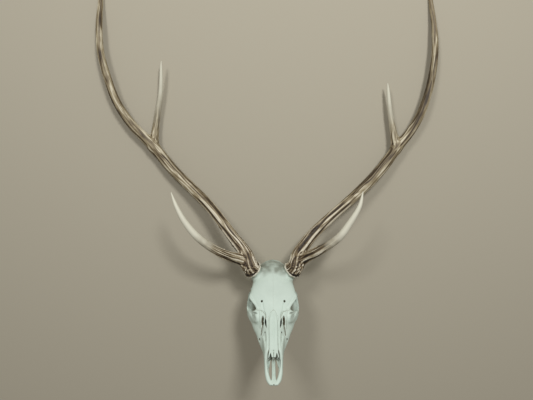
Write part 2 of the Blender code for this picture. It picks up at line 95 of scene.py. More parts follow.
def smooth_line(points, spacing=2.0, closed=False):
    """Evenly spaced points on a smooth curve through the given ones."""
    knots = np.array(points, float)
    if closed:
        padded = np.vstack([knots[-1], knots, knots[0], knots[1]])
    else:
        padded = np.vstack([2 * knots[0] - knots[1], knots, 2 * knots[-1] - knots[-2]])
    fine = []
    for before, here, there, after in zip(padded, padded[1:], padded[2:], padded[3:]):
        t = np.arange(0, 1, 0.05)[:, None]
        fine.append(0.5 * (
            2 * here + (there - before) * t
            + (2 * before - 5 * here + 4 * there - after) * t ** 2
            + (3 * here - before - 3 * there + after) * t ** 3
        ))
    fine = np.vstack([*fine, padded[-2]])
    length = np.r_[0, np.cumsum(np.linalg.norm(np.diff(fine, axis=0), axis=1))]
    count = max(2, int(round(length[-1] / spacing)) + 1)
    wanted = np.linspace(0, length[-1], count)
    return np.stack([np.interp(wanted, length, fine[:, axis]) for axis in range(3)], axis=1)


def soft_min(a, b, blend):
    """The smaller of two, rounded where they are within the blend of each other."""
    if blend <= 0:
        return np.minimum(a, b)
    near = np.maximum(blend - np.abs(a - b), 0.0)
    return np.minimum(a, b) - near * near / (4 * blend)


def ramp(value, start, end):
    """From 0 at start to 1 at end, eased at both."""
    t = np.clip((value - start) / (end - start), 0.0, 1.0)
    return t * t * (3 - 2 * t)


def between_corners(corner, t, value_at):
    """The value at places between the eight corners round each, from their shares t."""
    total = np.zeros(len(t), t.dtype)
    for far in np.ndindex(2, 2, 2):
        weight = 1
        for axis in range(3):
            weight = weight * (t[:, axis] if far[axis] else 1 - t[:, axis])
        total += weight * value_at(corner + far)
    return total


def noise(points, size, seed):
    """Smooth random relief between -1 and 1 at points, with lumps of the given size."""
    table = np.random.default_rng(seed).uniform(-1.0, 1.0, 1 << 15).astype(np.float32)
    scaled = np.asarray(points, np.float64) / np.asarray(size, np.float64)
    corner = np.floor(scaled).astype(np.int64)
    t = (scaled - corner).astype(np.float32)

    def value_at(at):
        key = at[:, 0] * 73856093 ^ at[:, 1] * 19349663 ^ at[:, 2] * 83492791
        return table[key & (len(table) - 1)]

    return between_corners(corner, t * t * (3 - 2 * t), value_at)


# ---------------------------------------------------------------- forms: (low, high, distance)
def beyond_section(across, up, half, tall, power):
    """How far places lie outside a rounded section, from their shares of its half sizes. The
    power is how square it is: 2 is an ellipse, more is boxier."""
    across, up = across + TINY, up + TINY
    across_power, up_power = across ** power, up ** power
    size = (across_power + up_power) ** (1 / power)
    slope = np.hypot(across_power / across / half, up_power / up / tall) * size ** (1 - power)
    return (size - 1) / slope


def between_ends(found, y, rows, blend):
    """The distance to a long form, closed off at its first and last row."""
    over = np.maximum(y - rows[-1, 0], rows[0, 0] - y)
    return -soft_min(-found, -over, blend)


def loft(stations, ends=4.0):
    """Sections across Y, from their place, half width, lowest, widest and highest height, and
    how square they are above and below the widest."""
    rows = np.array(stations, float)
    low = (-rows[:, 1].max(), rows[0, 0], rows[:, 2].min())
    high = (rows[:, 1].max(), rows[-1, 0], rows[:, 4].max())

    def distance(x, y, z):
        at = smooth_rows(rows, y.ravel())[None, :, :, None].astype(np.float32)
        half, bottom, wide, top, crown, keel = (at[:, :, column] for column in range(6))
        upper = z >= wide
        tall = np.where(upper, top - wide, wide - bottom)
        power = np.where(upper, crown, keel)
        found = beyond_section(np.abs(x) / half, np.abs(z - wide) / tall, half, tall, power)
        return between_ends(found, y, rows, ends)

    return low, high, distance


def bar(stations, square=2.4, ends=1.5):
    """A bar along Y through centres x, y, z, with its half thickness across and half height."""
    rows = np.array(stations, float)[:, [1, 0, 2, 3, 4]]
    low = ((rows[:, 1] - rows[:, 3]).min(), rows[0, 0], (rows[:, 2] - rows[:, 4]).min())
    high = ((rows[:, 1] + rows[:, 3]).max(), rows[-1, 0], (rows[:, 2] + rows[:, 4]).max())

    def distance(x, y, z):
        at = smooth_rows(rows, y.ravel())[None, :, :, None].astype(np.float32)
        middle, height, half, tall = (at[:, :, column] for column in range(4))
        found = beyond_section(
            np.abs(x - middle) / half, np.abs(z - height) / tall, half, tall, square)
        return between_ends(found, y, rows, ends)

    return low, high, distance


def ball(centre, radii, turn=(0.0, 0.0, 0.0)):
    """An ellipsoid, turned by degrees about X, Y and Z."""
    centre, radii = np.array(centre, float), np.array(radii, float)
    spin = np.eye(3)
    for axis, degrees in zip("XYZ", turn):
        spin = np.array(Matrix.Rotation(math.radians(degrees), 3, axis)) @ spin
    reach = np.sqrt(((spin * radii) ** 2).sum(axis=1))

    def distance(x, y, z):
        local = [
            sum(spin[row, axis] * (value - centre[row]) for row, value in enumerate((x, y, z)))
            for axis in range(3)
        ]
        size = np.sqrt(sum((value / radius) ** 2 for value, radius in zip(local, radii)))
        slope = np.sqrt(sum((value / radius ** 2) ** 2 for value, radius in zip(local, radii)))
        return (size * (size - 1) / np.maximum(slope, TINY)).astype(np.float32)

    return centre - reach, centre + reach, distance


def slab(point, towards, low, high):
    """All that lies beyond a plane through the point, within a box."""
    def distance(x, y, z):
        beyond = sum(t * (value - p) for t, value, p in zip(towards, (x, y, z), point))
        return (-beyond).astype(np.float32)

    return low, high, distance


def strand(points, radii, closed=False, flat=1.0):
    """A tube along a smooth curve. Flat presses it across X."""
    line = smooth_line(points, closed=closed)
    width = np.interp(np.linspace(0, 1, len(line)), np.linspace(0, 1, len(radii)), radii)
    reach = width.max()

    def distance(x, y, z):
        found = np.full(np.broadcast_shapes(x.shape, y.shape, z.shape), FAR, np.float32)
        margin = reach + STRAND_SPARE
        for a, b, start, end in zip(line, line[1:], width, width[1:]):
            low, high = np.minimum(a, b) - margin, np.maximum(a, b) + margin
            part = tuple(
                slice(*np.searchsorted(axis.ravel(), (low[at], high[at])))
                for at, axis in enumerate((x, y, z)))
            dx, dy, dz = x[part[0]] - a[0], y[:, part[1]] - a[1], z[:, :, part[2]] - a[2]
            along = b - a
            t = np.clip((dx * along[0] + dy * along[1] + dz * along[2]) / (along @ along), 0, 1)
            gap = np.sqrt(
                ((dx - t * along[0]) / flat) ** 2
                + (dy - t * along[1]) ** 2 + (dz - t * along[2]) ** 2)
            found[part] = np.minimum(found[part], gap - (start + (end - start) * t))
        return found

    return line.min(axis=0) - reach, line.max(axis=0) + reach, distance


# ---------------------------------------------------------------- from distances to a surface
class Field:
    """Distances to a surface on a grid, below nought inside it. Forms are added and cut one
    after another, each only in the window that it reaches."""

    def __init__(self, low, high, step):
        self.step = step
        self.axes = [np.arange(a, b + step / 2, step, dtype=np.float32) for a, b in zip(low, high)]
        self.value = np.full([len(axis) for axis in self.axes], FAR, np.float32)

    def add(self, form, blend, sign=1):
        low, high, distance = form
        margin = blend + SPARE
        part = tuple(
            slice(*np.searchsorted(axis, (a - margin, b + margin)))
            for axis, a, b in zip(self.axes, low, high))
        found = distance(*np.ix_(*(axis[span] for axis, span in zip(self.axes, part))))
        self.value[part] = sign * soft_min(sign * self.value[part], found, blend)

    def cut(self, form, blend):
        self.add(form, blend, sign=-1)

    def skin(self, place, axis, side):
        """Where the line through a place along an axis first meets the bone, coming from the
        high side (1) or the low one (-1)."""
        index = [int(round(float(value - line[0]) / self.step))
                 for value, line in zip(place, self.axes)]
        index[axis] = slice(None)
        column, line = self.value[tuple(index)][::-side], self.axes[axis][::-side]
        within = np.nonzero(column < 0)[0]
        if len(within) == 0 or within[0] == 0:
            return float(place[axis])
        first = within[0]
        outer, inner = column[first - 1], column[first]
        return float(line[first - 1] + (line[first] - line[first - 1]) * outer / (outer - inner))

    def laid_on(self, points, axis, side, lift=0.0):
        """The points moved along an axis to the skin, and on by the lift."""
        placed = []
        for place in points:
            moved = list(place)
            moved[axis] = self.skin(place, axis, side) + side * lift
            placed.append(tuple(moved))
        return placed

    def on_roof(self, places, lift=0.0):
        """Places x, y laid on the roof of the skull."""
        return self.laid_on([(x, y, 0.0) for x, y in places], 2, 1, lift)

    def mirrored(self):
        """The whole field, from the half at and beyond X 0."""
        whole = Field((0, 0, 0), (0, 0, 0), self.step)
        whole.axes = [np.r_[-self.axes[0][:0:-1], self.axes[0]], *self.axes[1:]]
        whole.value = np.concatenate([self.value[:0:-1], self.value])
        return whole

    def read(self, points):
        """The distances at points, between the grid's own."""
        scaled = (points - [axis[0] for axis in self.axes]) / self.step
        most = np.array(self.value.shape) - 2
        corner = np.clip(np.floor(scaled).astype(int), 0, most)
        t = np.clip(scaled - corner, 0, 1)
        return between_corners(corner, t, lambda at: self.value[tuple(at.T)])

    def closed_in(self, points, normals, reach, start, end):
        """From 0 on open ground to 1 deep in a hollow, by the free space within the reach."""
        space = np.minimum(self.read(points + reach * normals), reach)
        return ramp(1 - space / reach, start, end)

    def surface(self):
        """Points and four-sided faces where the distance is nought: one point in each cell
        that the surface crosses, at the mean of its crossings."""
        inside = self.value < 0
        shape = np.array(inside.shape) - 1
        count = np.zeros(shape, np.int8)
        corners = list(np.ndindex(2, 2, 2))
        for dx, dy, dz in corners:
            count += inside[dx:dx + shape[0], dy:dy + shape[1], dz:dz + shape[2]]
        cells = np.argwhere((count > 0) & (count < 8))
        total, crossings = np.zeros((len(cells), 3)), np.zeros(len(cells))
        values = {corner: self.value[tuple((cells + corner).T)] for corner in corners}
        for corner in corners:
            for axis in range(3):
                if corner[axis]:
                    continue
                other = tuple(1 if at == axis else value for at, value in enumerate(corner))
                here, there = values[corner], values[other]
                crossed = (here < 0) != (there < 0)
                with np.errstate(divide="ignore", invalid="ignore"):
                    t = np.where(crossed, here / (here - there), 0.0)
                place = np.tile(np.array(corner, float), (len(cells), 1))
                place[:, axis] += t
                total += place * crossed[:, None]
                crossings += crossed
        points = (cells + total / crossings[:, None]) * self.step + [a[0] for a in self.axes]
        number = np.full(shape, -1, np.int32)
        number[tuple(cells.T)] = np.arange(len(cells))
        faces = []
        for axis in range(3):
            u, v = (axis + 1) % 3, (axis + 2) % 3
            # The grid's edges along the axis that cross the surface, with four cells round each.
            edges = np.argwhere(inside != np.roll(inside, -1, axis=axis))
            least = np.array([int(at != axis) for at in range(3)])
            edges = edges[((edges >= least) & (edges < shape)).all(axis=1)]
            out = inside[tuple(edges.T)]
            ring = []
            for du, dv in ((1, 1), (0, 1), (0, 0), (1, 0)):
                cell = edges.copy()
                cell[:, u] -= du
                cell[:, v] -= dv
                ring.append(number[tuple(cell.T)])
            ring = np.stack(ring, axis=1)
            ring[~out] = ring[~out][:, ::-1]
            faces.append(ring)
        return points, np.vstack(faces)


def without_crumbs(points, faces, least=400):
    """The surface without its loose bits of fewer points than the least."""
    label = np.arange(len(points))
    ends = np.vstack([faces[:, at:at + 2] for at in range(3)])
    while True:
        lower = label[ends].min(axis=1)
        new = label.copy()
        for end in ends.T:
            np.minimum.at(new, label[end], lower)
        new = new[new]
        if (new == label).all():
            break
        label = new
    _, index, sizes = np.unique(label, return_inverse=True, return_counts=True)
    keep = sizes[index] >= least
    number = np.cumsum(keep) - 1
    return points[keep], number[faces[keep[faces[:, 0]]]]


def normals_of(points, faces):
    """The way that the surface faces at each point."""
    turned = np.cross(
        points[faces[:, 2]] - points[faces[:, 0]], points[faces[:, 3]] - points[faces[:, 1]])
    total = np.zeros_like(points)
    for corner in range(4):
        np.add.at(total, faces[:, corner], turned)
    return total / np.maximum(np.linalg.norm(total, axis=1), 1e-9)[:, None]


def relaxed(points, faces, share=0.5):
    """The points moved towards the mean of their neighbours and then away from it again, which
    smooths the surface without shrinking it."""
    ends = np.vstack([faces[:, [at, (at + 1) % 4]] for at in range(4)])
    degree = np.bincount(ends[:, 0], minlength=len(points))[:, None]
    for pull in (share, -(share + 0.03)):
        total = np.stack([
            np.bincount(ends[:, 0], weights=points[ends[:, 1], axis], minlength=len(points))
            for axis in range(3)], axis=1)
        points = points + pull * (total / np.maximum(degree, 1) - points)
    return points


def laid_down(points):
    """Points of the skull's frame, in metres, as the solids lie."""
    return (np.asarray(points) @ REST_TURN.T + REST_PLACE) * MM


def piece(name, points, faces, finish, marks):
    """A finished piece of the model from points and four-sided faces. Its marks are numbers at
    each point, which its material reads."""
    placed = laid_down(points)
    placed[:, 2] = np.maximum(placed[:, 2], 0.0)
    mesh = bpy.data.meshes.new(name)
    mesh.vertices.add(len(points))
    mesh.vertices.foreach_set("co", placed.astype(np.float32).ravel())
    mesh.loops.add(4 * len(faces))
    mesh.loops.foreach_set("vertex_index", faces.astype(np.int32).ravel())
    mesh.polygons.add(len(faces))
    mesh.polygons.foreach_set("loop_start", np.arange(0, 4 * len(faces), 4, dtype=np.int32))
    mesh.update(calc_edges=True)
    mesh.validate()
    for mark, values in marks.items():
        values = np.asarray(values, np.float32)
        kind, key = ("FLOAT_VECTOR", "vector") if values.ndim == 2 else ("FLOAT", "value")
        mesh.attributes.new(mark, kind, "POINT").data.foreach_set(key, values.ravel())
    mesh.shade_smooth()
    mesh.materials.append(finish)
    made = bpy.data.objects.new(name, mesh)
    bpy.context.scene.collection.objects.link(made)
    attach(made, "root")
    return made


# ---------------------------------------------------------------- materials
def srgb(code):
    """A hex colour as the linear numbers that a shader takes."""
    values = [int(code[at:at + 2], 16) / 255 for at in (1, 3, 5)]
    linear = [v / 12.92 if v <= 0.04045 else ((v + 0.055) / 1.055) ** 2.4 for v in values]
    return (*linear, 1.0)


def node(tree, kind, links=(), **settings):
    """A new shader node with its settings, and its inputs linked or set by name or number."""
    made = tree.nodes.new("ShaderNode" + kind)
    for name, value in settings.items():
        setattr(made, name, value)
    for socket, value in dict(links).items():
        if isinstance(value, bpy.types.NodeSocket):
            tree.links.new(value, made.inputs[socket])
        else:
            made.inputs[socket].default_value = value
    return made


def new_material(name):
    made = bpy.data.materials.new(name)
    made.use_nodes = True
    made.node_tree.nodes.clear()
    return made, made.node_tree


def bleached_bone():
    """Bone whitened with peroxide: a dry, nearly matt, faintly porous skin, chalk white with a cool
    cast where it is smooth, a little tan left in its sutures, and painted shade in its hollows."""
    made, tree = new_material("bleached_bone")
    place = node(tree, "TexCoord").outputs["Object"]
    grey_and_shade, hollow_shade, seam, seam_gap = (
        node(tree, "Attribute", attribute_name=mark).outputs["Fac"]
        for mark in ("grey_and_shade", "hollow_shade", "seam", "seam_gap"))
    # Clouds of slightly warmer and cooler bone, about 18 mm across.
    clouds = node(tree, "TexNoise", {
        "Vector": place, "Scale": 1 / 0.018, "Detail": 3.0, "Roughness": 0.55}).outputs["Fac"]
    # Pores and fine grain of dry bone, drawn at 0.9 mm so that they show.
    pores = node(tree, "TexNoise", {
        "Vector": place, "Scale": 1 / 0.0009, "Detail": 2.0, "Roughness": 0.6}).outputs["Fac"]
    # A seam is a dark line 0.5 mm wide: its distance, in mm, comes with the mesh.
    away = node(tree, "Math", {0: seam_gap}, operation="ABSOLUTE").outputs[0]
    thin = node(tree, "MapRange", {
        "Value": away, "From Min": 0.1, "From Max": 0.5, "To Min": 1.0, "To Max": 0.0},
        interpolation_type="SMOOTHSTEP").outputs["Result"]
    line = node(tree, "Math", {0: thin, 1: seam}, operation="MULTIPLY").outputs[0]
    colour = srgb("#D3E3D8")
    # Over the bone go clouds of tone, the rough grey bone between the antlers with its painted shade,
    # painted shade in the hollows, and the seams' dark lines.
    for level, over in (
        (clouds, "#C3D3C8"), (grey_and_shade, "#8E968A"), (hollow_shade, "#69644F"), (line, "#857B66"),
    ):
        laid = node(tree, "Mix", {"Factor": level, "A": colour, "B": srgb(over)}, data_type="RGBA")
        colour = laid.outputs["Result"]
    bump = node(tree, "Bump", {"Height": pores, "Strength": 0.3, "Distance": 0.0002})
    shader = node(tree, "BsdfPrincipled", {
        "Base Color": colour, "Normal": bump.outputs["Normal"], "Roughness": 0.58, "IOR": 1.5})
    node(tree, "OutputMaterial", {"Surface": shader.outputs["BSDF"]})
    return made


def cheek_tooth():
    """Enamel and dentine of a grazer's worn tooth: ivory, glossier than the bone, with brown
    stain in the pits of the crown."""
    made, tree = new_material("cheek_tooth")
    place = node(tree, "TexCoord").outputs["Object"]
    gum, pits = (
        node(tree, "Attribute", attribute_name=mark).outputs["Fac"] for mark in ("gum", "pits"))
    # Fine growth lines and blotches of the enamel, about 3 mm across.
    blotch = node(tree, "TexNoise", {
        "Vector": place, "Scale": 1 / 0.003, "Detail": 2.0}).outputs["Fac"]
    colour = srgb("#E9E4D2")
    for level, over in ((blotch, "#CFC6AC"), (gum, "#A8966F"), (pits, "#4E3D2A")):
        laid = node(tree, "Mix", {"Factor": level, "A": colour, "B": srgb(over)}, data_type="RGBA")
        colour = laid.outputs["Result"]
    shader = node(tree, "BsdfPrincipled", {
        "Base Color": colour, "Roughness": 0.34, "IOR": 1.62})
    node(tree, "OutputMaterial", {"Surface": shader.outputs["BSDF"]})
    return made


def antler_bone():
    """Hard antler: brown where old velvet and bark have stained its furrows, rubbed pale on
    the ridges, and polished to ivory on the points."""
    made, tree = new_material("antler_bone")
    place = node(tree, "TexCoord").outputs["Object"]
    level, base, worn = (
        node(tree, "Attribute", attribute_name=mark).outputs["Fac"]
        for mark in ("bark", "base", "worn"))
    # Weathering in patches about 25 mm long, and grain about 1 mm wide and 14 mm long, whose
    # place along and across the antler comes in mm with the mesh.
    patches = node(tree, "TexNoise", {
        "Vector": place, "Scale": 1 / 0.025, "Detail": 4.0, "Roughness": 0.6}).outputs["Fac"]
    lie = node(tree, "Attribute", attribute_name="lie").outputs["Vector"]
    drawn_out = node(tree, "VectorMath", {0: lie, 1: (1.0, 1.0, 1 / 14)},
                     operation="MULTIPLY").outputs[0]
    grain = node(tree, "TexNoise", {
        "Vector": drawn_out, "Scale": 1.0, "Detail": 4.0, "Roughness": 0.65}).outputs["Fac"]
    # From the bottom of a furrow to the crest of a ridge, moved a little by patches and grain.
    shifted = node(tree, "Math", {
        0: patches, 1: 0.5, 2: -0.42}, operation="MULTIPLY_ADD").outputs[0]
    level = node(tree, "Math", {0: level, 1: shifted}, operation="ADD").outputs[0]
    level = node(tree, "Math", {
        0: grain, 1: 0.55, 2: level}, operation="MULTIPLY_ADD").outputs[0]
    # The tones of the beams and, deeper, those of the base.
    tones = []
    for stops in (
        ((0.14, "#3C3022"), (0.36, "#65573F"), (0.58, "#85785E"), (0.82, "#A29679"),
         (1.0, "#CFC7B0")),
        ((0.2, "#21170D"), (0.4, "#4B3B28"), (0.6, "#7B6B51"), (0.84, "#AA9E84"),
         (1.0, "#DCD5C2")),
    ):
        row = node(tree, "ValToRGB", {"Fac": level})
        elements = row.color_ramp.elements
        elements.remove(elements[-1])
        elements[0].position = stops[0][0]
        elements[0].color = srgb(stops[0][1])
        for position, code in stops[1:]:
            elements.new(position).color = srgb(code)
        tones.append(row.outputs["Color"])
    colour = tones[0]
    for level, over in ((base, tones[1]), (worn, srgb("#D8D6C5"))):
        laid = node(tree, "Mix", {"Factor": level, "A": colour, "B": over}, data_type="RGBA")
        colour = laid.outputs["Result"]
    bump = node(tree, "Bump", {"Height": grain, "Strength": 0.4, "Distance": 0.0004})
    shader = node(tree, "BsdfPrincipled", {
        "Base Color": colour, "Normal": bump.outputs["Normal"], "Roughness": 0.55, "IOR": 1.45})
    node(tree, "OutputMaterial", {"Surface": shader.outputs["BSDF"]})
    return made


def pale_floor():
    """A plain studio floor of pale, warm paint, matt."""
    made, tree = new_material("pale_floor")
    shader = node(tree, "BsdfPrincipled", {"Base Color": srgb("#B2AC9B"), "Roughness": 0.85})
    node(tree, "OutputMaterial", {"Surface": shader.outputs["BSDF"]})
    return made


# ---------------------------------------------------------------- the skull's sizes
# The rows of the cranium and the cheeks are those of a loft, and the others those of a bar.
CRANIUM = (
    (50, 13, 12, 22, 38.3, 2.2, 2), (62, 15.5, 7, 20, 41, 2.2, 2.2), (76, 18, 7, 21, 44.5, 2.1, 2.2),
    (92, 22, 7, 25, 48.5, 2, 2.2), (108, 27, 8, 32, 53, 1.9, 2), (122, 31, 10, 42, 58, 1.9, 1.8),
    (134, 33.8, 13, 52, 63, 2.2, 1.6), (146, 39.6, 18, 60, 69, 2.6, 1.5),
    (157, 46.8, 22, 65, 74.5, 2.8, 1.35), (168, 46.2, 22, 68, 80, 2.8, 1.35),
    (180, 43.8, 19, 70, 86, 2.6, 1.5), (192, 42, 14, 68, 91, 2.4, 1.8), (204, 39, 9, 60, 95, 2.2, 2.1),
    (216, 37.5, 5.5, 52, 96, 2.1, 2.4), (228, 37, 4, 47, 93.5, 2, 2.5), (240, 36.5, 4, 42, 87, 2, 2.6),
    (250, 35, 5, 38, 78.5, 2, 2.6), (258, 31, 9, 36, 69, 2, 2.4), (261, 26, 13, 36, 64, 2, 2.2),
)
CHEEKS = (
    (50, 15.5, 3.5, 12, 31, 1.7, 2.6), (64, 20.5, 3, 13, 35, 1.7, 2.6), (74, 25, 4, 15, 37, 1.7, 2.6),
    (86, 30, 5, 18, 40, 1.7, 2.6), (100, 34.8, 6, 21, 44, 1.7, 2.6), (114, 38.3, 7, 24, 48, 1.7, 2.6),
    (128, 42, 9, 27, 50, 1.7, 2.6), (140, 43, 12, 29, 46, 1.7, 2.6), (149, 34, 16, 29, 37, 1.7, 2.6),
    (153, 28, 17, 28, 34, 1.7, 2.6),
)
PREMAXILLA_BAR = (
    (4.4, -1.6, 4.2, 3.2, 2.2), (8.4, 5, 5, 4.4, 3.6), (12, 15, 7, 4.2, 5), (13.5, 27, 10, 4, 7.4),
    (14.2, 38, 13.5, 4, 10.4), (14.6, 48, 17.5, 4.2, 14.4), (15.4, 58, 19.5, 4.2, 15.6),
    (17, 70, 22, 3.8, 14), (20, 84, 24, 2.5, 9),
)
PALATINE_BAR = (
    (2.9, -1, 4.4, 2.5, 2.4), (2.4, 8, 5, 2, 2.6), (2.1, 26, 6, 1.7, 2.6), (2.2, 46, 8, 1.8, 3),
    (2.8, 62, 9, 2.6, 3),
)
ZYGOMATIC_BAR = (
    (37.5, 121, 27, 3, 8), (43, 131, 28, 3.4, 10), (48.6, 142, 28.8, 3.4, 9.6),
    (52.2, 154, 29.5, 2.8, 8.2), (53, 168, 30.5, 2.4, 6.8), (50.2, 183, 32.5, 2.3, 6.6),
    (46.6, 195, 34, 2.4, 5.4), (43, 206, 35, 3.2, 4.8), (35, 214, 35.5, 6, 5),
)
ORBITAL_FLOOR = (
    (38, 134, 27, 11, 12), (41.5, 147, 23, 12, 8), (43, 160, 23, 11, 5.5), (47, 172, 26, 7, 4),
    (50.5, 178, 29, 3, 3),
)
PTERYGOID_PLATE = (
    (13.5, 138, 10, 3.2, 6), (12.5, 152, 12, 2.2, 13), (11.5, 166, 12, 2, 15), (11.5, 178, 10, 2, 13),
    (13, 192, 15, 2.6, 6),
)
ALVEOLAR_RIDGE = (
    (14.5, 64, 9, 2.5, 3), (16, 74, 7, 5, 5), (21, 110, 6, 8, 6.5), (24.5, 140, 6, 8, 6.5),
    (25.5, 150, 9.5, 5.5, 5.5), (26, 157, 13, 3, 3.5),
)
NASAL_CHAMBER = (
    (0, 36, 20, 9.9, 12.5), (0, 56, 23, 11.2, 14), (0, 84, 27, 14, 16), (0, 110, 31, 19, 18),
    (0, 135, 34, 19, 19), (0, 150, 30, 13, 13),
)
CHOANAE = (
    (0, 138, 16, 7, 7), (0, 152, 13.5, 8.6, 7.5), (0, 170, 12.5, 9.4, 8.5),
)
ORBIT_CENTRE = (47.0, 161.0, 46.5)
ORBIT_RADII = (27.0, 20.5, 18.0)
# The bony ring round the eye socket, from its upper hind corner forwards: the edge of the
# forehead, the corner at the tear bone, the front edge and the cheekbone's upper edge.
ORBIT_RIM = (
    (46.8, 155, 67.2), (41.6, 147.3, 64.2), (35.4, 140.8, 59), (31.2, 134.8, 56.2), (29.4, 129.8, 54.6),
    (33.4, 130.8, 50.6), (38.6, 134.8, 45.4), (44, 139.5, 40), (49.4, 148, 35.4), (52.4, 159, 33.6),
    (53.2, 170, 35.6), (51.6, 178.4, 42), (47.8, 181, 50.5), (45, 177, 58.5), (45.4, 168, 65.2),
)
BURR_CENTRE = {"left": (40.2, 208.5, 91.6), "right": (-41.2, 208.5, 92.0)}
BURR_AXIS = (0.58, 0.0, 0.815)
TOOTH_ROW_START = 76.0
TOOTH_LENGTHS = (10.0, 10.5, 10.5, 12.5, 14.5, 14.5)    # three premolars, three molars


def burr_frame(side):
    """The burr's centre and axis."""
    x, y, z = BURR_AXIS
    axis = np.array((x * SIDES[side], y, z))
    return np.array(BURR_CENTRE[side]), axis / np.linalg.norm(axis)


def add_braincase(field):
    field.add(loft(CRANIUM), 0)
    # The swollen ear bones with their spikes, the processes behind them and the ear canal.
    field.add(ball((20, 216, 5), (8.3, 13, 9.6)), 2)
    field.add(strand(((20, 206, 4), (18.5, 201, 0), (18, 198, -3)), (3.4, 2.4, 1.6)), 2)
    field.add(strand(
        ((25, 243, 26), (27.5, 241, 8), (27, 239, -6), (25.5, 237, -17)), (7.5, 5.8, 4.4, 2.4),
        flat=0.6), 4.5)
    field.add(strand(((26, 222, 22), (36.5, 224, 27), (39.5, 225, 29)), (6.4, 5.2, 4.4)), 3)
    field.add(ball((33, 231, 26), (6, 7, 13)), 4)
    field.add(ball((6, 226, 5), (4, 10, 2.6)), 2.5)
    # The crest that the neck's muscles hold to, its boss and the ridge below.
    field.add(strand(
        ((0, 258, 70), (13, 256.5, 68.5), (25, 251, 60), (33, 243.5, 50), (36, 236, 41)),
        (3.2, 2.6, 2.2, 2, 1.8)), 5)
    field.add(ball((0, 256.5, 65), (4.5, 5, 9)), 4)
    field.add(strand(((0, 259.5, 62), (0, 261.3, 50), (0, 261, 38)), (1.6, 1.3, 1)), 3)
    field.cut(ball((13.5, 269.5, 50), (12, 10, 13)), 4)
    # The side: the ridge from the cheekbone's root to the crest.
    field.add(strand(
        ((43, 204, 37), (41.5, 214, 38), (40, 226, 40), (36, 237, 42)), (3, 2.6, 2.2, 1.8)), 4.5)


def add_face(field):
    field.add(loft(CHEEKS), 5)
    field.add(ball((33, 130, 43), (9.5, 17, 12.5), turn=(0, -12, 0)), 8)
    field.add(bar(ORBITAL_FLOOR), 4)
    field.add(bar(ALVEOLAR_RIDGE, square=2.6, ends=4), 4)
    # The swelling over the molars, and the ridge that runs forward from the cheekbone.
    field.add(ball((36, 121, 17), (5, 15, 6.5), turn=(-14, 0, -12)), 6)
    field.add(strand(
        ((45, 138, 24), (40.5, 126, 20), (35, 113, 17.5), (29.5, 101, 15)), (3.2, 2.8, 2.2, 1.4)), 5)


def cut_openings(field):
    field.cut(bar(NASAL_CHAMBER, square=2.3), 1)
    field.cut(bar(CHOANAE), 1.5)
    # The temporal fossa, between the braincase and the cheekbone.
    field.cut(ball((50, 200, 42), (16, 17, 22)), 4)
    field.cut(ball((44, 188, 34), (10, 10, 15)), 4)
    # The way to the brain, and the bowl behind it.
    field.cut(strand(((0, 236, 21), (0, 256, 24), (0, 275, 26)), (8, 9, 10.5)), 1.5)
    field.cut(ball((0, 220, 44), (25, 30, 26)), 2)


def add_arches(field):
    """The cheekbone and the ring round the eye, and the orbit hollowed inside it."""
    field.add(bar(ZYGOMATIC_BAR), 3.5)
    field.add(strand(
        ORBIT_RIM, (2.6, 2.3, 2, 1.7, 1.5, 1.9, 2.5, 3, 3, 2.8, 2.8, 2.7, 2.6, 2.5, 2.6),
        closed=True), 3.2)
    field.cut(ball(ORBIT_CENTRE, ORBIT_RADII), 1.2)
    field.cut(ball((33, 169, 43), (15, 15, 13)), 4)
    # The socket's front corner, tucked under the edge of the forehead.
    field.cut(ball((39.6, 146, 50.6), (7.4, 15, 7), turn=(-8, 0, -30)), 1.2)
    # The joint for the jaw, under the cheekbone's root, and the lip behind it.
    field.add(ball((36, 210, 32.5), (13, 8, 4.6), turn=(0, 8, 0)), 3.5)
    field.add(ball((32, 218.5, 28), (6.5, 2.6, 6.5)), 2)
    # The joint with the neck.
    field.add(ball((12, 256.6, 15), (8.4, 8.9, 10.8), turn=(-20, 0, 0)), 2.5)
    field.add(ball((13.5, 253.5, 23), (6, 6.5, 7)), 2)
    field.cut(strand(((0, 250, 22), (0, 275, 25.5)), (8.6, 9.6)), 1)
    # The stalk of the antler, cut off flat at the burr.
    centre, axis = burr_frame("left")
    top = centre + axis
    field.add(strand([centre - axis * 24, centre - axis * 15, centre - axis * 7, top],
                     (17, 17, 15.6, 16.4)), 7)
    field.cut(slab(top, axis, top - 30, top + 30), 0.3)


def add_palate(field):
    field.add(bar(PTERYGOID_PLATE), 2)
    # The hook at the plate's lower corner.
    field.add(strand(((11.5, 176, -1), (12, 184, -4), (13.4, 189, -4)), (2.2, 2, 1.5)), 2)
    # The vomer, the thin wall that stands in the chamber and shows behind the palate.
    field.add(bar((
        (0, 50, 9.5, 1.6, 3), (0, 66, 12, 1.2, 5.5), (0, 90, 16, 1, 9), (0, 130, 21, 1, 11),
        (0, 168, 17.5, 1, 5.5)), ends=1), 1)
    # The scrolls of thin bone in the chamber, two on each side.
    field.add(bar((
        (8, 45, 17.5, 1.8, 3), (7.4, 58, 21, 2.6, 6), (8.5, 82, 25, 3.4, 8),
        (9.5, 110, 28, 4, 8)), ends=2.5), 0.8)
    field.add(bar((
        (4.4, 56, 33, 1.6, 2.2), (5, 74, 36.5, 2.4, 3), (6, 104, 43, 3, 4)), ends=2), 0.8)


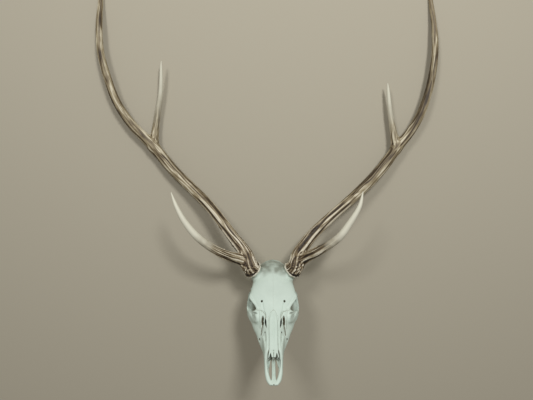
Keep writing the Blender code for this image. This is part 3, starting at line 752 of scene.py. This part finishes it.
def add_muzzle(field):
    field.add(bar(PREMAXILLA_BAR), 4)
    # It is a thin upright wall above a shelf, so the inner side is hollowed over the shelf.
    field.cut(strand(
        ((9.4, 21, 13), (9.6, 29, 16.5), (9.7, 38, 20), (9.6, 48, 23.5), (9.4, 60, 25.5)),
        (1.4, 3.2, 4.5, 5, 4.4)), 1.5)
    # The shelf's hind end narrows the gap in the palate to a point.
    field.add(bar((
        (9.8, 32, 8.6, 1.4, 1.4), (9.2, 40, 9.6, 2.2, 1.8), (7.9, 48, 10.8, 3, 2.2),
        (7, 58, 12, 4.2, 2.6))), 2)
    # Its upper end leans in against the nasal.
    field.add(strand(
        ((13.8, 43, 25), (12.6, 49, 31.4), (11.8, 56, 35), (11.6, 66, 36.6), (12, 80, 39.4),
         (13, 92, 41)), (2, 2.6, 2.4, 2, 1.6, 1)), 4)
    field.add(bar(PALATINE_BAR), 1.6)
    field.add(bar(((0, 6, 5, 1.6, 1.6), (0, 30, 6.2, 1.4, 1.6), (0, 50, 8.2, 1.6, 1.9))), 1)
    field.add(ball((0, 4, 4.4), (5, 6.6, 2.6)), 2)
    field.cut(ball((0, -3.2, 4.5), (1.3, 3.4, 5)), 1)
    # Each nasal is crowned, with a furrow between the two, and ends in two points.
    field.add(bar((
        (4.2, 46, 36.2, 4.1, 1.5), (4.3, 56, 38.3, 4.3, 1.9), (4.3, 76, 43.3, 4.3, 2.2),
        (4.4, 92, 47.3, 4.3, 2.2), (4.3, 108, 51.7, 4, 2.2), (3.2, 119, 55.6, 2.8, 2),
        (1.6, 127, 58.6, 1.2, 1.6))), 0.6)
    field.add(bar((
        (2, 36.4, 35.4, 1.7, 0.9), (2.5, 41, 35.9, 2.3, 1.3), (3.5, 49, 36.9, 3.4, 1.7)),
        ends=0.8), 0.8)
    field.add(bar((
        (9.4, 37, 32.8, 0.9, 0.8), (8.6, 41, 34.4, 1.3, 1), (7.5, 45.5, 35.7, 1.6, 1.2),
        (6.4, 51, 37, 2, 1.6)), ends=0.8), 0.8)


def cut_small_openings(field):
    """The holes for nerves and vessels, and the gaps that thin bone leaves in front of the eye."""
    def cut_below(line, steps, radii, blend):
        for inwards, down in steps:
            field.cut(strand([(x - inwards, y, z - down) for x, y, z in line], radii), blend)

    # Above the eye, a round hole with a shallow furrow in front.
    x, y, z = field.on_roof([(22.9, 144.8)])[0]
    field.cut(strand(((x, y, z + 2), (23.6, 146.2, z - 7)), (1.95, 1.9)), 0.8)
    furrow = field.on_roof([(22.4, 141), (21, 134), (19, 126)], 1)
    field.cut(strand(furrow, (1.8, 1.6, 1.3)), 1.6)
    # The hole on the side of the muzzle, opening forwards.
    side = field.skin((0, 84, 22), 0, 1)
    field.cut(strand(
        ((side + 1.2, 80.5, 20.5), (side - 1.2, 85, 22.5), (side - 6, 93, 26)), (1.3, 2, 1.9)), 1.5)
    # In front of the eye: the shallow pit of the scent gland, and a narrow groove by the rim.
    field.cut(ball((43.8, 116, 47.5), (7, 12, 8), turn=(-22, 0, -10)), 6)
    field.cut(strand(
        ((44.4, 132.6, 43.4), (41.6, 130, 47), (37.4, 126.6, 51.6), (32.4, 123.4, 55.4)),
        (0.9, 1.5, 1.7, 1.1)), 0.9)
    # The crest that bounds it, and the gaps between lacrimal, nasal and maxilla.
    crest = field.on_roof([(27, 131), (26, 123.5), (25, 116), (24.2, 109), (24.6, 102)], -0.5)
    field.add(strand(crest, (1.7, 2, 1.9, 1.5, 0.8)), 1.8)
    step = field.on_roof([(25.4, 128.8), (21, 127), (17.6, 123.4), (16, 116)], 0.3)
    field.cut(strand(step, (1, 1.7, 2.1, 1.7)), 0.9)
    outer = field.on_roof([(20.6, 119.5), (20.7, 115), (21.2, 110.5), (21.8, 106)], -1.2)
    cut_below(outer, [(0, 0)], (1.2, 2.5, 2.3, 1.2), 0.8)
    cut_below(outer, [(1.8, 3.4)], (1.4, 2.8, 2.6, 1.4), 0.8)
    inner = field.on_roof([(16, 115), (15.6, 109.5), (14.8, 103), (13.8, 97)], -0.6)
    cut_below(inner, [(0, 0)], (0.8, 1.6, 1.3, 0.7), 0.6)
    cut_below(inner, [(0, 2.4), (0, 4.8), (0, 7.2)], (1, 1.9, 1.6, 0.9), 0.4)
    slant = field.on_roof([(19.4, 108), (20.6, 103.5), (22, 99), (23.1, 94.5), (24.2, 89.5)])
    cut_below(slant, [(0, 0), (0, 1.6)], (0.9, 1.6, 1.8, 1.5, 0.7), 0.8)
    spot = field.on_roof([(16.6, 89.5)])[0]
    field.cut(strand((spot, (14.5, 90.5, spot[2] - 4)), (1.5, 1.4)), 0.6)
    # Round holes, from where they open to where they end, with their radii: in the orbit the
    # optic canal, the fissure below it and the two for tears, then the ear's opening, four in
    # the floor of the braincase, and the palate's.
    for mouth, end, radii, blend in (
        ((26, 174, 42), (8, 186, 43), (3.2, 2.6), 1),
        ((26, 178, 31), (12, 192, 30), (3.4, 3), 1),
        ((41, 143.5, 52.5), (36.5, 136, 50.5), (1.3, 1.1), 0.8),
        ((42.5, 142.5, 46.5), (38, 135, 45), (1.3, 1.1), 0.8),
        ((42, 225.5, 30), (30, 223, 24), (2.9, 2.4), 0.8),
        ((15.5, 201, -2), (15, 202, 14), (2.6, 2.2), 1),
        ((11.5, 246.5, 2), (9, 243, 12), (1.8, 1.6), 0.8),
        ((13, 231.5, 0), (13.5, 230.5, 12), (2.4, 2.2), 1),
        ((10.5, 207, 0), (11.5, 210, 10), (1.8, 1.6), 0.8),
        ((9.5, 112, 0), (9.5, 117, 12), (1.7, 1.6), 0.8),
    ):
        field.cut(strand((mouth, end), radii), blend)
    # The furrow that leads forward from the palate's hole.
    under = field.laid_on([(9.3, 110, 0), (8.6, 98, 0), (7.5, 84, 0)], 2, -1, 0.5)
    field.cut(strand(under, (1.5, 1.4, 1)), 1.2)


def skull_field():
    """The bone of the skull, from its left half."""
    field = Field((0.0, -6.0, -24.0), (60.8, 274.0, 112.0), BONE_STEP)
    for shape in (add_braincase, add_face, cut_openings, add_arches, add_palate, add_muzzle,
                  cut_small_openings):
        shape(field)
    return field


# Where bones meet: the face that each line lies on, its points there, how far it wanders and
# how plainly it shows. Roof and base lines are x and y, side lines y and z.
SEAMS = (
    ("roof", ((0, 127), (0, 160), (0, 200), (0, 232)), 0.8, 0.22),
    ("roof", ((0.5, 128), (5, 124), (9, 117), (10.5, 108)), 0.9, 0.45),
    ("roof", ((8.7, 108), (8.8, 90), (8.7, 70), (8.4, 60)), 0.3, 0.35),
    ("roof", ((24.7, 128.5), (19.7, 126.5), (16.6, 122), (15.7, 116)), 0.6, 1.0),
    ("roof", ((24.7, 128.5), (31, 130), (36, 134.5)), 0.8, 0.6),
    ("roof", ((28.0, 127), (27.8, 119), (27.4, 111), (27.8, 103)), 0.9, 0.5),
    ("roof", ((0, 232), (12, 231), (22, 229), (30, 224)), 1.8, 0.6),
    ("side", ((112, 41), (118, 33), (126, 26)), 0.8, 0.35),
    ("side", ((126, 26), (121, 19), (118, 11)), 1.0, 0.4),
    ("side", ((126, 26), (132, 33), (139, 40)), 0.8, 0.35),
    ("side", ((45, 4), (51, 16), (58, 26), (66, 36)), 0.8, 0.6),
    ("side", ((174, 35), (182, 31), (191, 32)), 0.6, 0.6),
    ("side", ((190, 44), (199, 60), (213, 66), (227, 60), (237, 48)), 1.2, 0.5),
    ("base", ((0, 48), (0, 90), (0, 148)), 0.5, 0.6),
    ("base", ((0, 117), (7, 116), (13, 121), (15, 130)), 1.2, 0.6),
    ("base", ((0, 205), (6, 205.5), (11, 206)), 0.6, 0.6),
)
SEAM_REACH = 3.0    # how far from a seam its distance is kept


def seam_lines(field):
    """The seams as points on the bone of the left half, 1.5 mm apart."""
    for face, points, wander, strength in SEAMS:
        flat = smooth_line([(*point, 0.0) for point in points], spacing=1.5)
        if face == "side":
            line = field.laid_on([(0.0, y, z) for y, z, _ in flat], 0, 1)
        else:
            line = field.laid_on(flat, 2, 1 if face == "roof" else -1)
        yield np.array(line), wander, strength


def seam_marks(field, points, normals):
    """For each point the signed distance to the nearest seam and how plainly it shows."""
    fold = np.where(points[:, :1] < 0, (-1.0, 1.0, 1.0), 1.0)
    folded, facing = points * fold, normals * fold
    gap = np.full(len(points), SEAM_REACH)
    plain = np.zeros(len(points))
    for number, (line, wander, strength) in enumerate(seam_lines(field)):
        low, high = line.min(axis=0) - SEAM_REACH - 1, line.max(axis=0) + SEAM_REACH + 1
        near = np.nonzero(((folded > low) & (folded < high)).all(axis=1))[0]
        here, turned_out = folded[near], facing[near]
        if np.abs(line[:, 0]).max() < 0.1:
            here, turned_out = points[near], normals[near]
        away = here[:, None] - line[None, :-1]
        step = np.diff(line, axis=0)
        t = np.clip((away * step).sum(axis=2) / (step ** 2).sum(axis=1), 0, 1)
        offset = away - t[..., None] * step
        reach = np.linalg.norm(offset, axis=2)
        best = reach.argmin(axis=1)
        rows = np.arange(len(near))
        turned = np.cross(step[best], turned_out)
        turned /= np.maximum(np.linalg.norm(turned, axis=1), 1e-6)[:, None]
        signed = (turned * offset[rows, best]).sum(axis=1)
        ends = np.sqrt(np.maximum(reach[rows, best] ** 2 - signed ** 2, 0))
        around = points[near]
        wiggle = noise(around, 3.0, 70 + number) + 0.4 * noise(around, 1.4, 90 + number)
        signed = signed + wander * wiggle
        closer = (np.abs(signed) < np.abs(gap[near])) & (ends < 1.0)
        gap[near[closer]] = signed[closer]
        plain[near[closer]] = strength
    return np.clip(gap, -SEAM_REACH, SEAM_REACH), plain * (1 - ramp(np.abs(gap), 0.8, 1.4))


def make_skull():
    half = skull_field()
    field = half.mirrored()
    points, faces = without_crumbs(*field.surface())
    points = relaxed(points, faces)
    normals = normals_of(points, faces)
    # Painted shade gathers in hollows: by their reach, how much and between which shares closed in.
    hollow_shade = np.clip(sum(
        stain * field.closed_in(points, normals, reach, start, end)
        for reach, stain, start, end in (
            (4.0, 0.45, 0.2, 0.95), (1.5, 0.5, 0.25, 1.0), (9.0, 0.4, 0.35, 1.0),
            (20.0, 0.45, 0.25, 0.9))), 0, 1)
    seam_gap, seam = seam_marks(half, points, normals)
    x, y, z = points.T
    # Painted shade deepens inwards in the eye sockets.
    reach = np.linalg.norm((np.c_[np.abs(x), y, z] - ORBIT_CENTRE) / ORBIT_RADII, axis=1)
    socket = (1 - ramp(reach, 1.1, 1.25)) * ramp(ORBIT_CENTRE[0] - np.abs(x), -1.0, 8.0)
    hollow_shade = np.clip(hollow_shade + 0.8 * socket * (1 - ramp(z, 46.0, 60.0)), 0, 1)
    # The open muzzle keeps little of the painted shade.
    hollow_shade *= 0.35 + 0.65 * ramp(y, 38.0, 52.0)
    # Rough, greyed bone between the antlers, darkened further by painted shade where the coronets shade
    # it.
    behind = ramp(y + 0.35 * np.abs(x) + 3.0 * noise(points, 8.0, 3), 192.0, 212.0)
    grey_and_shade = behind * ramp(z, 62.0, 76.0) * (1 - ramp(np.abs(x), 24.0, 31.0))
    spread = np.exp(-((np.abs(x) - 3.0 - 0.55 * (y - 196.0)) / 4.5) ** 2)
    grey_and_shade *= 0.72 + 0.35 * spread + 0.3 * noise(points, 6.0, 4)
    grey_and_shade = np.maximum(grey_and_shade, 0.13 * ramp(y, 132.0, 165.0) * ramp(z, 50.0, 62.0))
    # The bone's own unevenness, scars for muscle behind and below, and the seams' grooves.
    scarred = np.maximum(grey_and_shade, 0.8 * ramp(y, 236.0, 250.0) * (1 - ramp(z, 72.0, 84.0)))
    relief = (
        0.16 * noise(points, 11.0, 1) + 0.07 * noise(points, 4.5, 2)
        + scarred * (0.13 * noise(points, 2.8, 5) + 0.07 * noise(points, 1.4, 6))
        - 0.30 * seam * np.exp(-(seam_gap / 0.55) ** 2))
    points = points + relief[:, None] * normals
    skull = piece("skull_bone", points, faces, bleached_bone(), {
        "hollow_shade": hollow_shade, "seam_gap": seam_gap, "seam": seam, "grey_and_shade": grey_and_shade})
    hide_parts(*SKULL_NODES)


# ---------------------------------------------------------------- teeth
TOOTH_LEAN = 0.165      # how far the row moves outwards for each mm back
RIB_RADIUS = 0.85       # the upright ribs on the outer wall
TOOTH_ROOT = 8.5        # the height, inside the jaw, where a tooth ends


def tooth_lobe(y, length, outer, width, crown):
    """A lobe of a cheek tooth: flat outside, round towards the tongue, and its worn face cut
    by a crescent valley. Y is the lobe's middle, crown the height of its cusps."""
    reach, half = length / 2, width / 2
    middle = outer - half

    def distance(x, y_at, z):
        across, along = (x - middle) / half, (y_at - y) / reach
        power = np.where(across > 0, 4.5, 2.0)
        wall = beyond_section(np.abs(across), np.abs(along), half, reach, power)
        valley = across - 0.1 - 0.45 * along ** 2
        worn = (
            crown + 2.6 * np.exp(-(valley / 0.2) ** 2) * (1 - 0.5 * along ** 2)
            + 1.5 * np.abs(along) ** 1.6 + 0.9 * np.abs(across) ** 3)
        face = (worn - z) * 0.75
        return np.maximum(np.maximum(wall, face), z - TOOTH_ROOT)

    return (outer - width, y - reach, crown), (outer, y + reach, TOOTH_ROOT), distance


def make_teeth(finish):
    for name, side in SIDES.items():
        field = Field((6.0, 74.0, -13.0), (36.0, 151.0, 10.0), TOOTH_STEP)
        y = TOOTH_ROW_START
        for number, length in enumerate(TOOTH_LENGTHS):
            # Each tooth is wider and higher than the one in front.
            outer = 20.3 + TOOTH_LEAN * (y - TOOTH_ROW_START)
            width = 9.2 + 1.2 * number
            crown = -6.9 - 0.7 * number
            lobes = 1 if number < 3 else 2
            share = (length - 0.1) / lobes
            for lobe in range(lobes):
                middle = y + 0.05 + share * (lobe + 0.5)
                shift = TOOTH_LEAN * (middle - y) * 0.5
                field.add(tooth_lobe(middle, share, outer + shift, width - 0.8 * lobe, crown), 0.25)
            for rib in range(lobes + 1):
                at = y + 0.9 + (length - 1.8) * rib / lobes
                field.add(strand(
                    ((outer - 0.75, at, 8), (outer - 0.6, at, 0), (outer - 0.9, at, crown + 1.6)),
                    (RIB_RADIUS, RIB_RADIUS, 0.5)), 0.6)
            y += length
        points, faces = field.surface()
        points = relaxed(points, faces, share=0.35)
        normals = normals_of(points, faces)
        pits = field.closed_in(points, normals, 1.6, 0.3, 1.0)
        gum = ramp(points[:, 2], -3.5, 0.5)
        points = points + 0.05 * noise(points, 1.8, 8)[:, None] * normals
        if side < 0:
            points, faces = points * (-1, 1, 1), faces[:, ::-1]
        piece(f"cheek_teeth_{name}", points, faces, finish, {"pits": pits, "gum": gum})


# ---------------------------------------------------------------- antlers
BEAM = {
    "left": (
        (56, 231, 119), (84, 257, 147), (127, 287, 175), (180, 321, 206), (232, 354, 246),
        (272, 384, 290), (302, 402, 324), (323, 420, 364), (337, 446, 412), (344, 477, 465),
        (342, 510, 512), (335, 543.5, 556.5), (328, 564.5, 596.5),
    ),
    "right": (
        (-59, 231, 120), (-88, 257, 147), (-134, 301, 187), (-177, 334, 216), (-218, 359, 247),
        (-265, 390, 294), (-307, 409, 334), (-336, 428, 378), (-354, 453, 426), (-366, 481, 474),
        (-367, 510, 519), (-365, 544, 560), (-358, 582, 634),
    ),
}
BEAM_RADIUS = (
    (0, 17), (0.04, 14.5), (0.1, 12.6), (0.3, 11.4), (0.45, 11.6), (0.52, 10.2), (0.65, 8.4), (0.78, 7),
    (0.88, 5.6), (0.96, 3.4), (1, 0.9),
)
BROW_TINE = {
    "left": (
        (64, 214, 119), (97, 202, 157), (129, 199, 191), (149, 209, 219), (167, 224, 248),
        (175, 244, 271),
    ),
    "right": (
        (-67, 213, 117), (-104, 198, 150), (-145, 196, 190), (-171, 207, 221), (-188, 223, 248),
        (-200, 243, 270),
    ),
}
BROW_RADIUS = (
    (0, 12), (0.15, 10.6), (0.35, 8.9), (0.6, 7.2), (0.8, 5.2), (0.93, 3), (1, 0.8),
)
INNER_TINE = {
    "left": (
        (270, 384, 288), (263, 404, 322), (255, 422, 355), (249, 440, 392), (246, 448, 412),
    ),
    "right": (
        (-262, 389, 288), (-258, 411, 318), (-250, 430, 357), (-242, 447, 397), (-237, 467, 453),
    ),
}
INNER_RADIUS = ((0.0, 10.0), (0.25, 7.4), (0.5, 5.6), (0.75, 4.2), (0.92, 2.6), (1.0, 0.8))
FORK_BLEND = 9.0


def tube(rings, closed=False):
    """Points and four-sided faces of a skin over rings of equally many points."""
    about = len(rings[0])
    faces = []
    for at in range(len(rings) if closed else len(rings) - 1):
        here, ahead = at * about, (at + 1) % len(rings) * about
        for side in range(about):
            turn = (side + 1) % about
            faces.append((here + side, here + turn, ahead + turn, ahead + side))
    return np.vstack(rings), faces


class Arm:
    """A beam or a tine: its centre line, its radius along it and its length."""

    def __init__(self, points, profile):
        self.line = smooth_line(points, spacing=3.0)
        steps = np.linalg.norm(np.diff(self.line, axis=0), axis=1)
        self.length = steps.sum()
        self.along = np.r_[0, np.cumsum(steps)]
        self.radius = smooth_rows(profile, self.along / self.length)[:, 0]
        tangent = np.gradient(self.line, axis=0)
        tangent /= np.linalg.norm(tangent, axis=1)[:, None]
        # A frame carried along the line without turning about it.
        across = np.cross(tangent[0], (0.0, 1.0, 0.3))
        frames = []
        for direction in tangent:
            across = across - direction * (across @ direction)
            across /= np.linalg.norm(across)
            frames.append((across, np.cross(direction, across)))
        self.frames = np.array(frames)

    def measure(self, points):
        """For each point its distance to the tube's skin, its place along the arm, and its
        offset from the centre line in the arm's own frame."""
        distance, along = np.empty((2, len(points)))
        offset = np.empty((len(points), 2))
        start, step = self.line[:-1], np.diff(self.line, axis=0)
        square = (step ** 2).sum(axis=1)
        for first in range(0, len(points), 20000):
            part = slice(first, first + 20000)
            here = points[part]
            gap = ((here[:, None] - self.line[None]) ** 2).sum(axis=2)
            nearest = gap.argmin(axis=1)
            best = np.full(len(here), np.inf)
            for shift in (-1, 0):
                index = np.clip(nearest + shift, 0, len(start) - 1)
                away = here - start[index]
                t = np.clip((away * step[index]).sum(axis=1) / square[index], 0, 1)
                centre = start[index] + step[index] * t[:, None]
                reach = np.linalg.norm(here - centre, axis=1)
                radius = self.radius[index] * (1 - t) + self.radius[index + 1] * t
                better = reach - radius < best
                best = np.where(better, reach - radius, best)
                place = self.along[index] * (1 - t) + self.along[index + 1] * t
                local = np.einsum("nij,nj->ni", self.frames[index], here - centre)
                along[part] = np.where(better, place, along[part])
                offset[part] = np.where(better[:, None], local, offset[part])
            distance[part] = best
        return distance, along, offset

    def mesh(self, sides=32):
        turns = 2 * np.pi * np.arange(sides)[:, None] / sides
        points, faces = tube([
            place + radius * (np.cos(turns) * u + np.sin(turns) * v)
            for place, radius, (u, v) in zip(self.line, self.radius, self.frames)])
        first, last = tuple(range(sides)), tuple(range(len(points) - sides, len(points)))
        return points, faces + [first[::-1], last]


def joined_mesh(shapes, step):
    """One closed skin over crossing shapes, as points and four-sided faces."""
    points, faces = [], []
    for shape_points, shape_faces in shapes:
        offset = sum(map(len, points))
        points.append(shape_points)
        faces += [tuple(offset + corner for corner in face) for face in shape_faces]
    mesh = bpy.data.meshes.new("crossing_shapes")
    mesh.from_pydata(np.vstack(points).tolist(), [], faces)
    made = bpy.data.objects.new("crossing_shapes", mesh)
    bpy.context.scene.collection.objects.link(made)
    remesh = made.modifiers.new("skin", "REMESH")
    remesh.mode = "VOXEL"
    remesh.voxel_size = step
    graph = bpy.context.evaluated_depsgraph_get()
    skin = bpy.data.meshes.new_from_object(made.evaluated_get(graph))
    bpy.data.objects.remove(made)

    def read(items, key, each=1, kind=np.int32):
        values = np.empty(each * len(items), kind)
        items.foreach_get(key, values)
        return values

    found = read(skin.vertices, "co", 3, np.float32).reshape(-1, 3).astype(float)
    corners = read(skin.loops, "vertex_index")
    fours = read(skin.polygons, "loop_start")[read(skin.polygons, "loop_total") == 4]
    bpy.data.meshes.remove(skin)
    return found, corners[fours[:, None] + np.arange(4)]


def sphere_mesh(centre, radius, rings=8, sides=12):
    turns = 2 * np.pi * np.arange(sides) / sides
    points, faces = tube([
        np.c_[np.sin(lift) * np.cos(turns), np.sin(lift) * np.sin(turns), [np.cos(lift)] * sides]
        for lift in np.pi * np.arange(1, rings) / rings])
    top, last = len(points), len(points) - sides
    for side in range(sides):
        turn = (side + 1) % sides
        faces += [(top, turn, side), (top + 1, last + side, last + turn)]
    return np.vstack([points, (0, 0, 1), (0, 0, -1)]) * radius + centre, faces


# Beam, brow tine, inner tine: between which shares of its length the bark fades out, and
# between which it turns to polished ivory.
WEAR = (((0.82, 1.0), (0.93, 1.02)), ((0.3, 0.62), (0.34, 0.62)), ((0.2, 0.72), (0.12, 0.85)))
# Rows of knobs round the base: how many, how far out, how high, and their smallest and
# biggest radius.
KNOB_ROWS = ((24, 16.8, 3.4, 2.6, 4.0), (19, 15.4, 7.2, 1.8, 3.0), (15, 14.4, 11.5, 1.2, 2.2))
RIM_RADIUS = 17.9       # the smooth rim under the knobs, and how thick it is across and high
RIM_HALF_WIDTH = 1.7
RIM_HALF_HEIGHT = 1.5
BURR_REACH = 25.0       # how far from its centre the burr reaches
BASE_REACH = 230.0      # and where the dark, deeply furrowed base has faded out


def outward(axis):
    """The direction across the burr that leads away from the skull's midline, where its knobs
    are biggest."""
    across = np.array((axis[2], 0.0, -axis[0])) * np.sign(axis[0])
    return across / np.linalg.norm(across)


def coronet(centre, axis, rng):
    """The smooth rim of the burr as a mesh, and its knobs as places with radii."""
    u = np.cross(axis, (0.0, 1.0, 0.0))
    u /= np.linalg.norm(u)
    v = np.cross(axis, u)
    outer = outward(axis)

    def out_at(turn):
        return u * math.cos(turn) + v * math.sin(turn)

    knobs = []
    for count, out, height, least, most in KNOB_ROWS:
        for step in range(count):
            turn = 2 * math.pi * (step + rng.uniform(-0.35, 0.35)) / count
            reach = out + rng.uniform(-0.7, 0.7)
            lift = height + rng.uniform(-1.2, 1.2)
            knobs.append((
                centre + reach * out_at(turn) + axis * lift,
                rng.uniform(least, most) * (0.78 + 0.34 * float(out_at(turn) @ outer))))
    rings = []
    for turn in 2 * math.pi * np.arange(96) / 96:
        wavy = RIM_RADIUS + 0.5 * math.sin(5 * turn + 1) + 0.35 * math.sin(11 * turn)
        lifts = 2 * math.pi * np.arange(14)[:, None] / 14
        rings.append(
            centre + out_at(turn) * (wavy + RIM_HALF_WIDTH * np.cos(lifts))
            + axis * (0.8 + RIM_HALF_HEIGHT * np.sin(lifts)))
    return tube(rings, closed=True), knobs


def bark(arm, along, offset, number):
    """The furrowed surface of an arm: its height from -1 to 1, in long ridges side by side that
    run together and part again."""
    streaks = np.c_[offset, along]
    wander = [noise(streaks, (8.0, 8.0, 34.0), seed + number) for seed in (31, 34)]
    streaks = streaks + 1.8 * np.c_[wander[0], wander[1], np.zeros(len(along))]
    ridges = noise(streaks, (2.1, 2.1, 80.0), 41 + number)
    broad = noise(streaks, (5.0, 5.0, 120.0), 44 + number)
    fine = noise(streaks, (1.2, 1.2, 24.0), 51 + number)
    return np.clip(1.45 * (ridges + 0.25 * broad + 0.45 * fine), -1.0, 1.0)


def antler_distance(points, arms):
    """The distance to the blended skin of the arms, and its direction."""
    def total(places):
        found = arms[0].measure(places)[0]
        for arm in arms[1:]:
            found = soft_min(found, arm.measure(places)[0], FORK_BLEND)
        return found

    here = total(points)
    close = 0.05
    gradient = np.stack([
        (total(points + np.eye(3)[axis] * close) - here) / close for axis in range(3)], axis=1)
    gradient /= np.maximum(np.linalg.norm(gradient, axis=1), 1e-6)[:, None]
    return here, gradient


def make_antler(side, finish):
    centre, axis = burr_frame(side)
    arms = [
        Arm([centre + axis, centre + axis * 12, *BEAM[side]], BEAM_RADIUS),
        Arm([centre + axis * 10, *BROW_TINE[side]], BROW_RADIUS),
        Arm(INNER_TINE[side], INNER_RADIUS),
    ]
    rim, knobs = coronet(centre, axis, np.random.default_rng(11 if side == "left" else 12))
    shapes = [*(arm.mesh() for arm in arms), rim, *(sphere_mesh(*knob) for knob in knobs)]
    points, faces = joined_mesh(shapes, ANTLER_STEP)
    # The skin is drawn onto the arms, but not where the burr stands out of them.
    for _ in range(2):
        total, gradient = antler_distance(points, arms)
        near_burr = np.abs((points - centre) @ axis - 6.0) < 9.5
        near_burr &= np.linalg.norm(points - centre, axis=1) < BURR_REACH
        pull = np.where(near_burr & (total > 0.3), 0.0, np.clip(total, -3.0, 3.0))
        points = points - pull[:, None] * gradient
    points = relaxed(points, faces)
    normals = normals_of(points, faces)
    outside, _ = antler_distance(points, arms)
    measures = [arm.measure(points) for arm in arms]
    distances = np.stack([entry[0] for entry in measures])
    weights = np.exp(distances.min(axis=0) - distances)
    weights /= weights.sum(axis=0)
    height, rough, worn = np.zeros((3, len(points)))
    # The place of each point across and along its own arm, for grain that follows it. The
    # arms' places are set far apart, so that no two share their grain.
    nearest = distances.argmin(axis=0)
    lie = np.zeros((len(points), 3))
    for number, (arm, weight, (_, along, offset)) in enumerate(zip(arms, weights, measures)):
        share = along / arm.length
        bare, polished = WEAR[number]
        rough += weight * (1 - ramp(share, *bare))
        worn += weight * ramp(share + 0.05 * noise(points, 9.0, 65), *polished)
        height += weight * bark(arm, along, offset, number)
        own = nearest == number
        lie[own] = np.c_[offset, along + 1000 * number][own]
    away = np.linalg.norm(points - centre, axis=1)
    base = 1 - ramp(away, BURR_REACH, BASE_REACH)
    # Depth in mm: deep furrows at the base, shallow ones towards the top.
    depth = rough * (0.45 + 0.55 * base)
    relief = depth * np.where(height < 0, 1.25, 0.7) * height
    pearls = np.maximum(noise(points, 3.2, 61), 0.25) - 0.25
    relief += 1.7 * pearls * rough * (0.25 + 0.75 * (1 - ramp(away, 40.0, 160.0)))
    # The burr keeps its own shape: a smooth pale rim, and dark clefts between the knobs.
    lift = (points - centre) @ axis
    sideways = (points - centre) @ outward(axis)
    close = away < BURR_REACH + 1
    on_burr = close * (1 - ramp(lift - 0.35 * sideways, 5.0, 10.0))
    rim_line = close * (1 - ramp(lift, 2.0, 2.8))
    relief = relief * (1 - on_burr) + on_burr * 0.35 * noise(points, 1.8, 66) * (1 - rim_line)
    knobby = ramp(outside, 0.3, 3.0) * 1.35 - 1.0 + 0.3 * noise(points, 2.0, 67)
    height = height * (1 - on_burr) + on_burr * knobby
    points = points + normals * relief[:, None]
    made = piece(f"antler_{side}", points, faces, finish, {
        "bark": np.clip(0.5 + 0.5 * height * np.maximum(rough, on_burr), 0, 1),
        "worn": np.maximum(worn, rim_line), "base": base, "lie": lie})
    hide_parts(*(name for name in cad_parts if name.startswith(f"antler_{side}")))


# ---------------------------------------------------------------- room and camera
def make_room():
    mesh = bpy.data.meshes.new("floor")
    far = FLOOR_REACH
    corners = [(-far, -far, 0), (far, -far, 0), (far, far, 0), (-far, far, 0)]
    mesh.from_pydata(corners, [], [(0, 1, 2, 3)])
    mesh.materials.append(pale_floor())
    floor = bpy.data.objects.new("floor", mesh)
    bpy.context.scene.collection.objects.link(floor)

    world = bpy.data.worlds.new("studio")
    world.use_nodes = True
    background = world.node_tree.nodes["Background"]
    background.inputs["Color"].default_value = srgb("#F1EADD")
    background.inputs["Strength"].default_value = 0.24
    bpy.context.scene.world = world
    # Colours are shown as they are, with no film curve over them.
    bpy.context.scene.view_settings.view_transform = "Standard"

    for name, place, size, power in (
        ("key_light", (0.6, 1.15, 2.0), 0.4, 30.0),
        ("fill_light", (-0.8, 1.15, 1.9), 0.5, 16.0),
    ):
        light = bpy.data.lights.new(name, "AREA")
        light.size = size
        light.energy = power
        lamp = bpy.data.objects.new(name, light)
        lamp.location = place
        aim = Vector((0, 0, 0.1)) - Vector(place)
        lamp.rotation_euler = aim.to_track_quat("-Z", "Y").to_euler()
        bpy.context.scene.collection.objects.link(lamp)


def make_camera():
    forward = Vector(REST_TURN @ CAMERA_FORWARD).normalized()
    right = Vector((1.0, 0.0, 0.0))
    data = bpy.data.cameras.new("camera")
    data.lens = CAMERA_LENS
    data.sensor_width = SENSOR_WIDTH
    camera = bpy.data.objects.new("camera", data)
    axes = Matrix((right, right.cross(forward), -forward)).transposed()
    camera.matrix_world = Matrix.Translation(laid_down([CAMERA_PLACE])[0]) @ axes.to_4x4()
    bpy.context.scene.collection.objects.link(camera)
    bpy.context.scene.camera = camera


make_camera()
make_room()
make_skull()
make_teeth(cheek_tooth())
antler_finish = antler_bone()
for antler_side in SIDES:
    make_antler(antler_side, antler_finish)
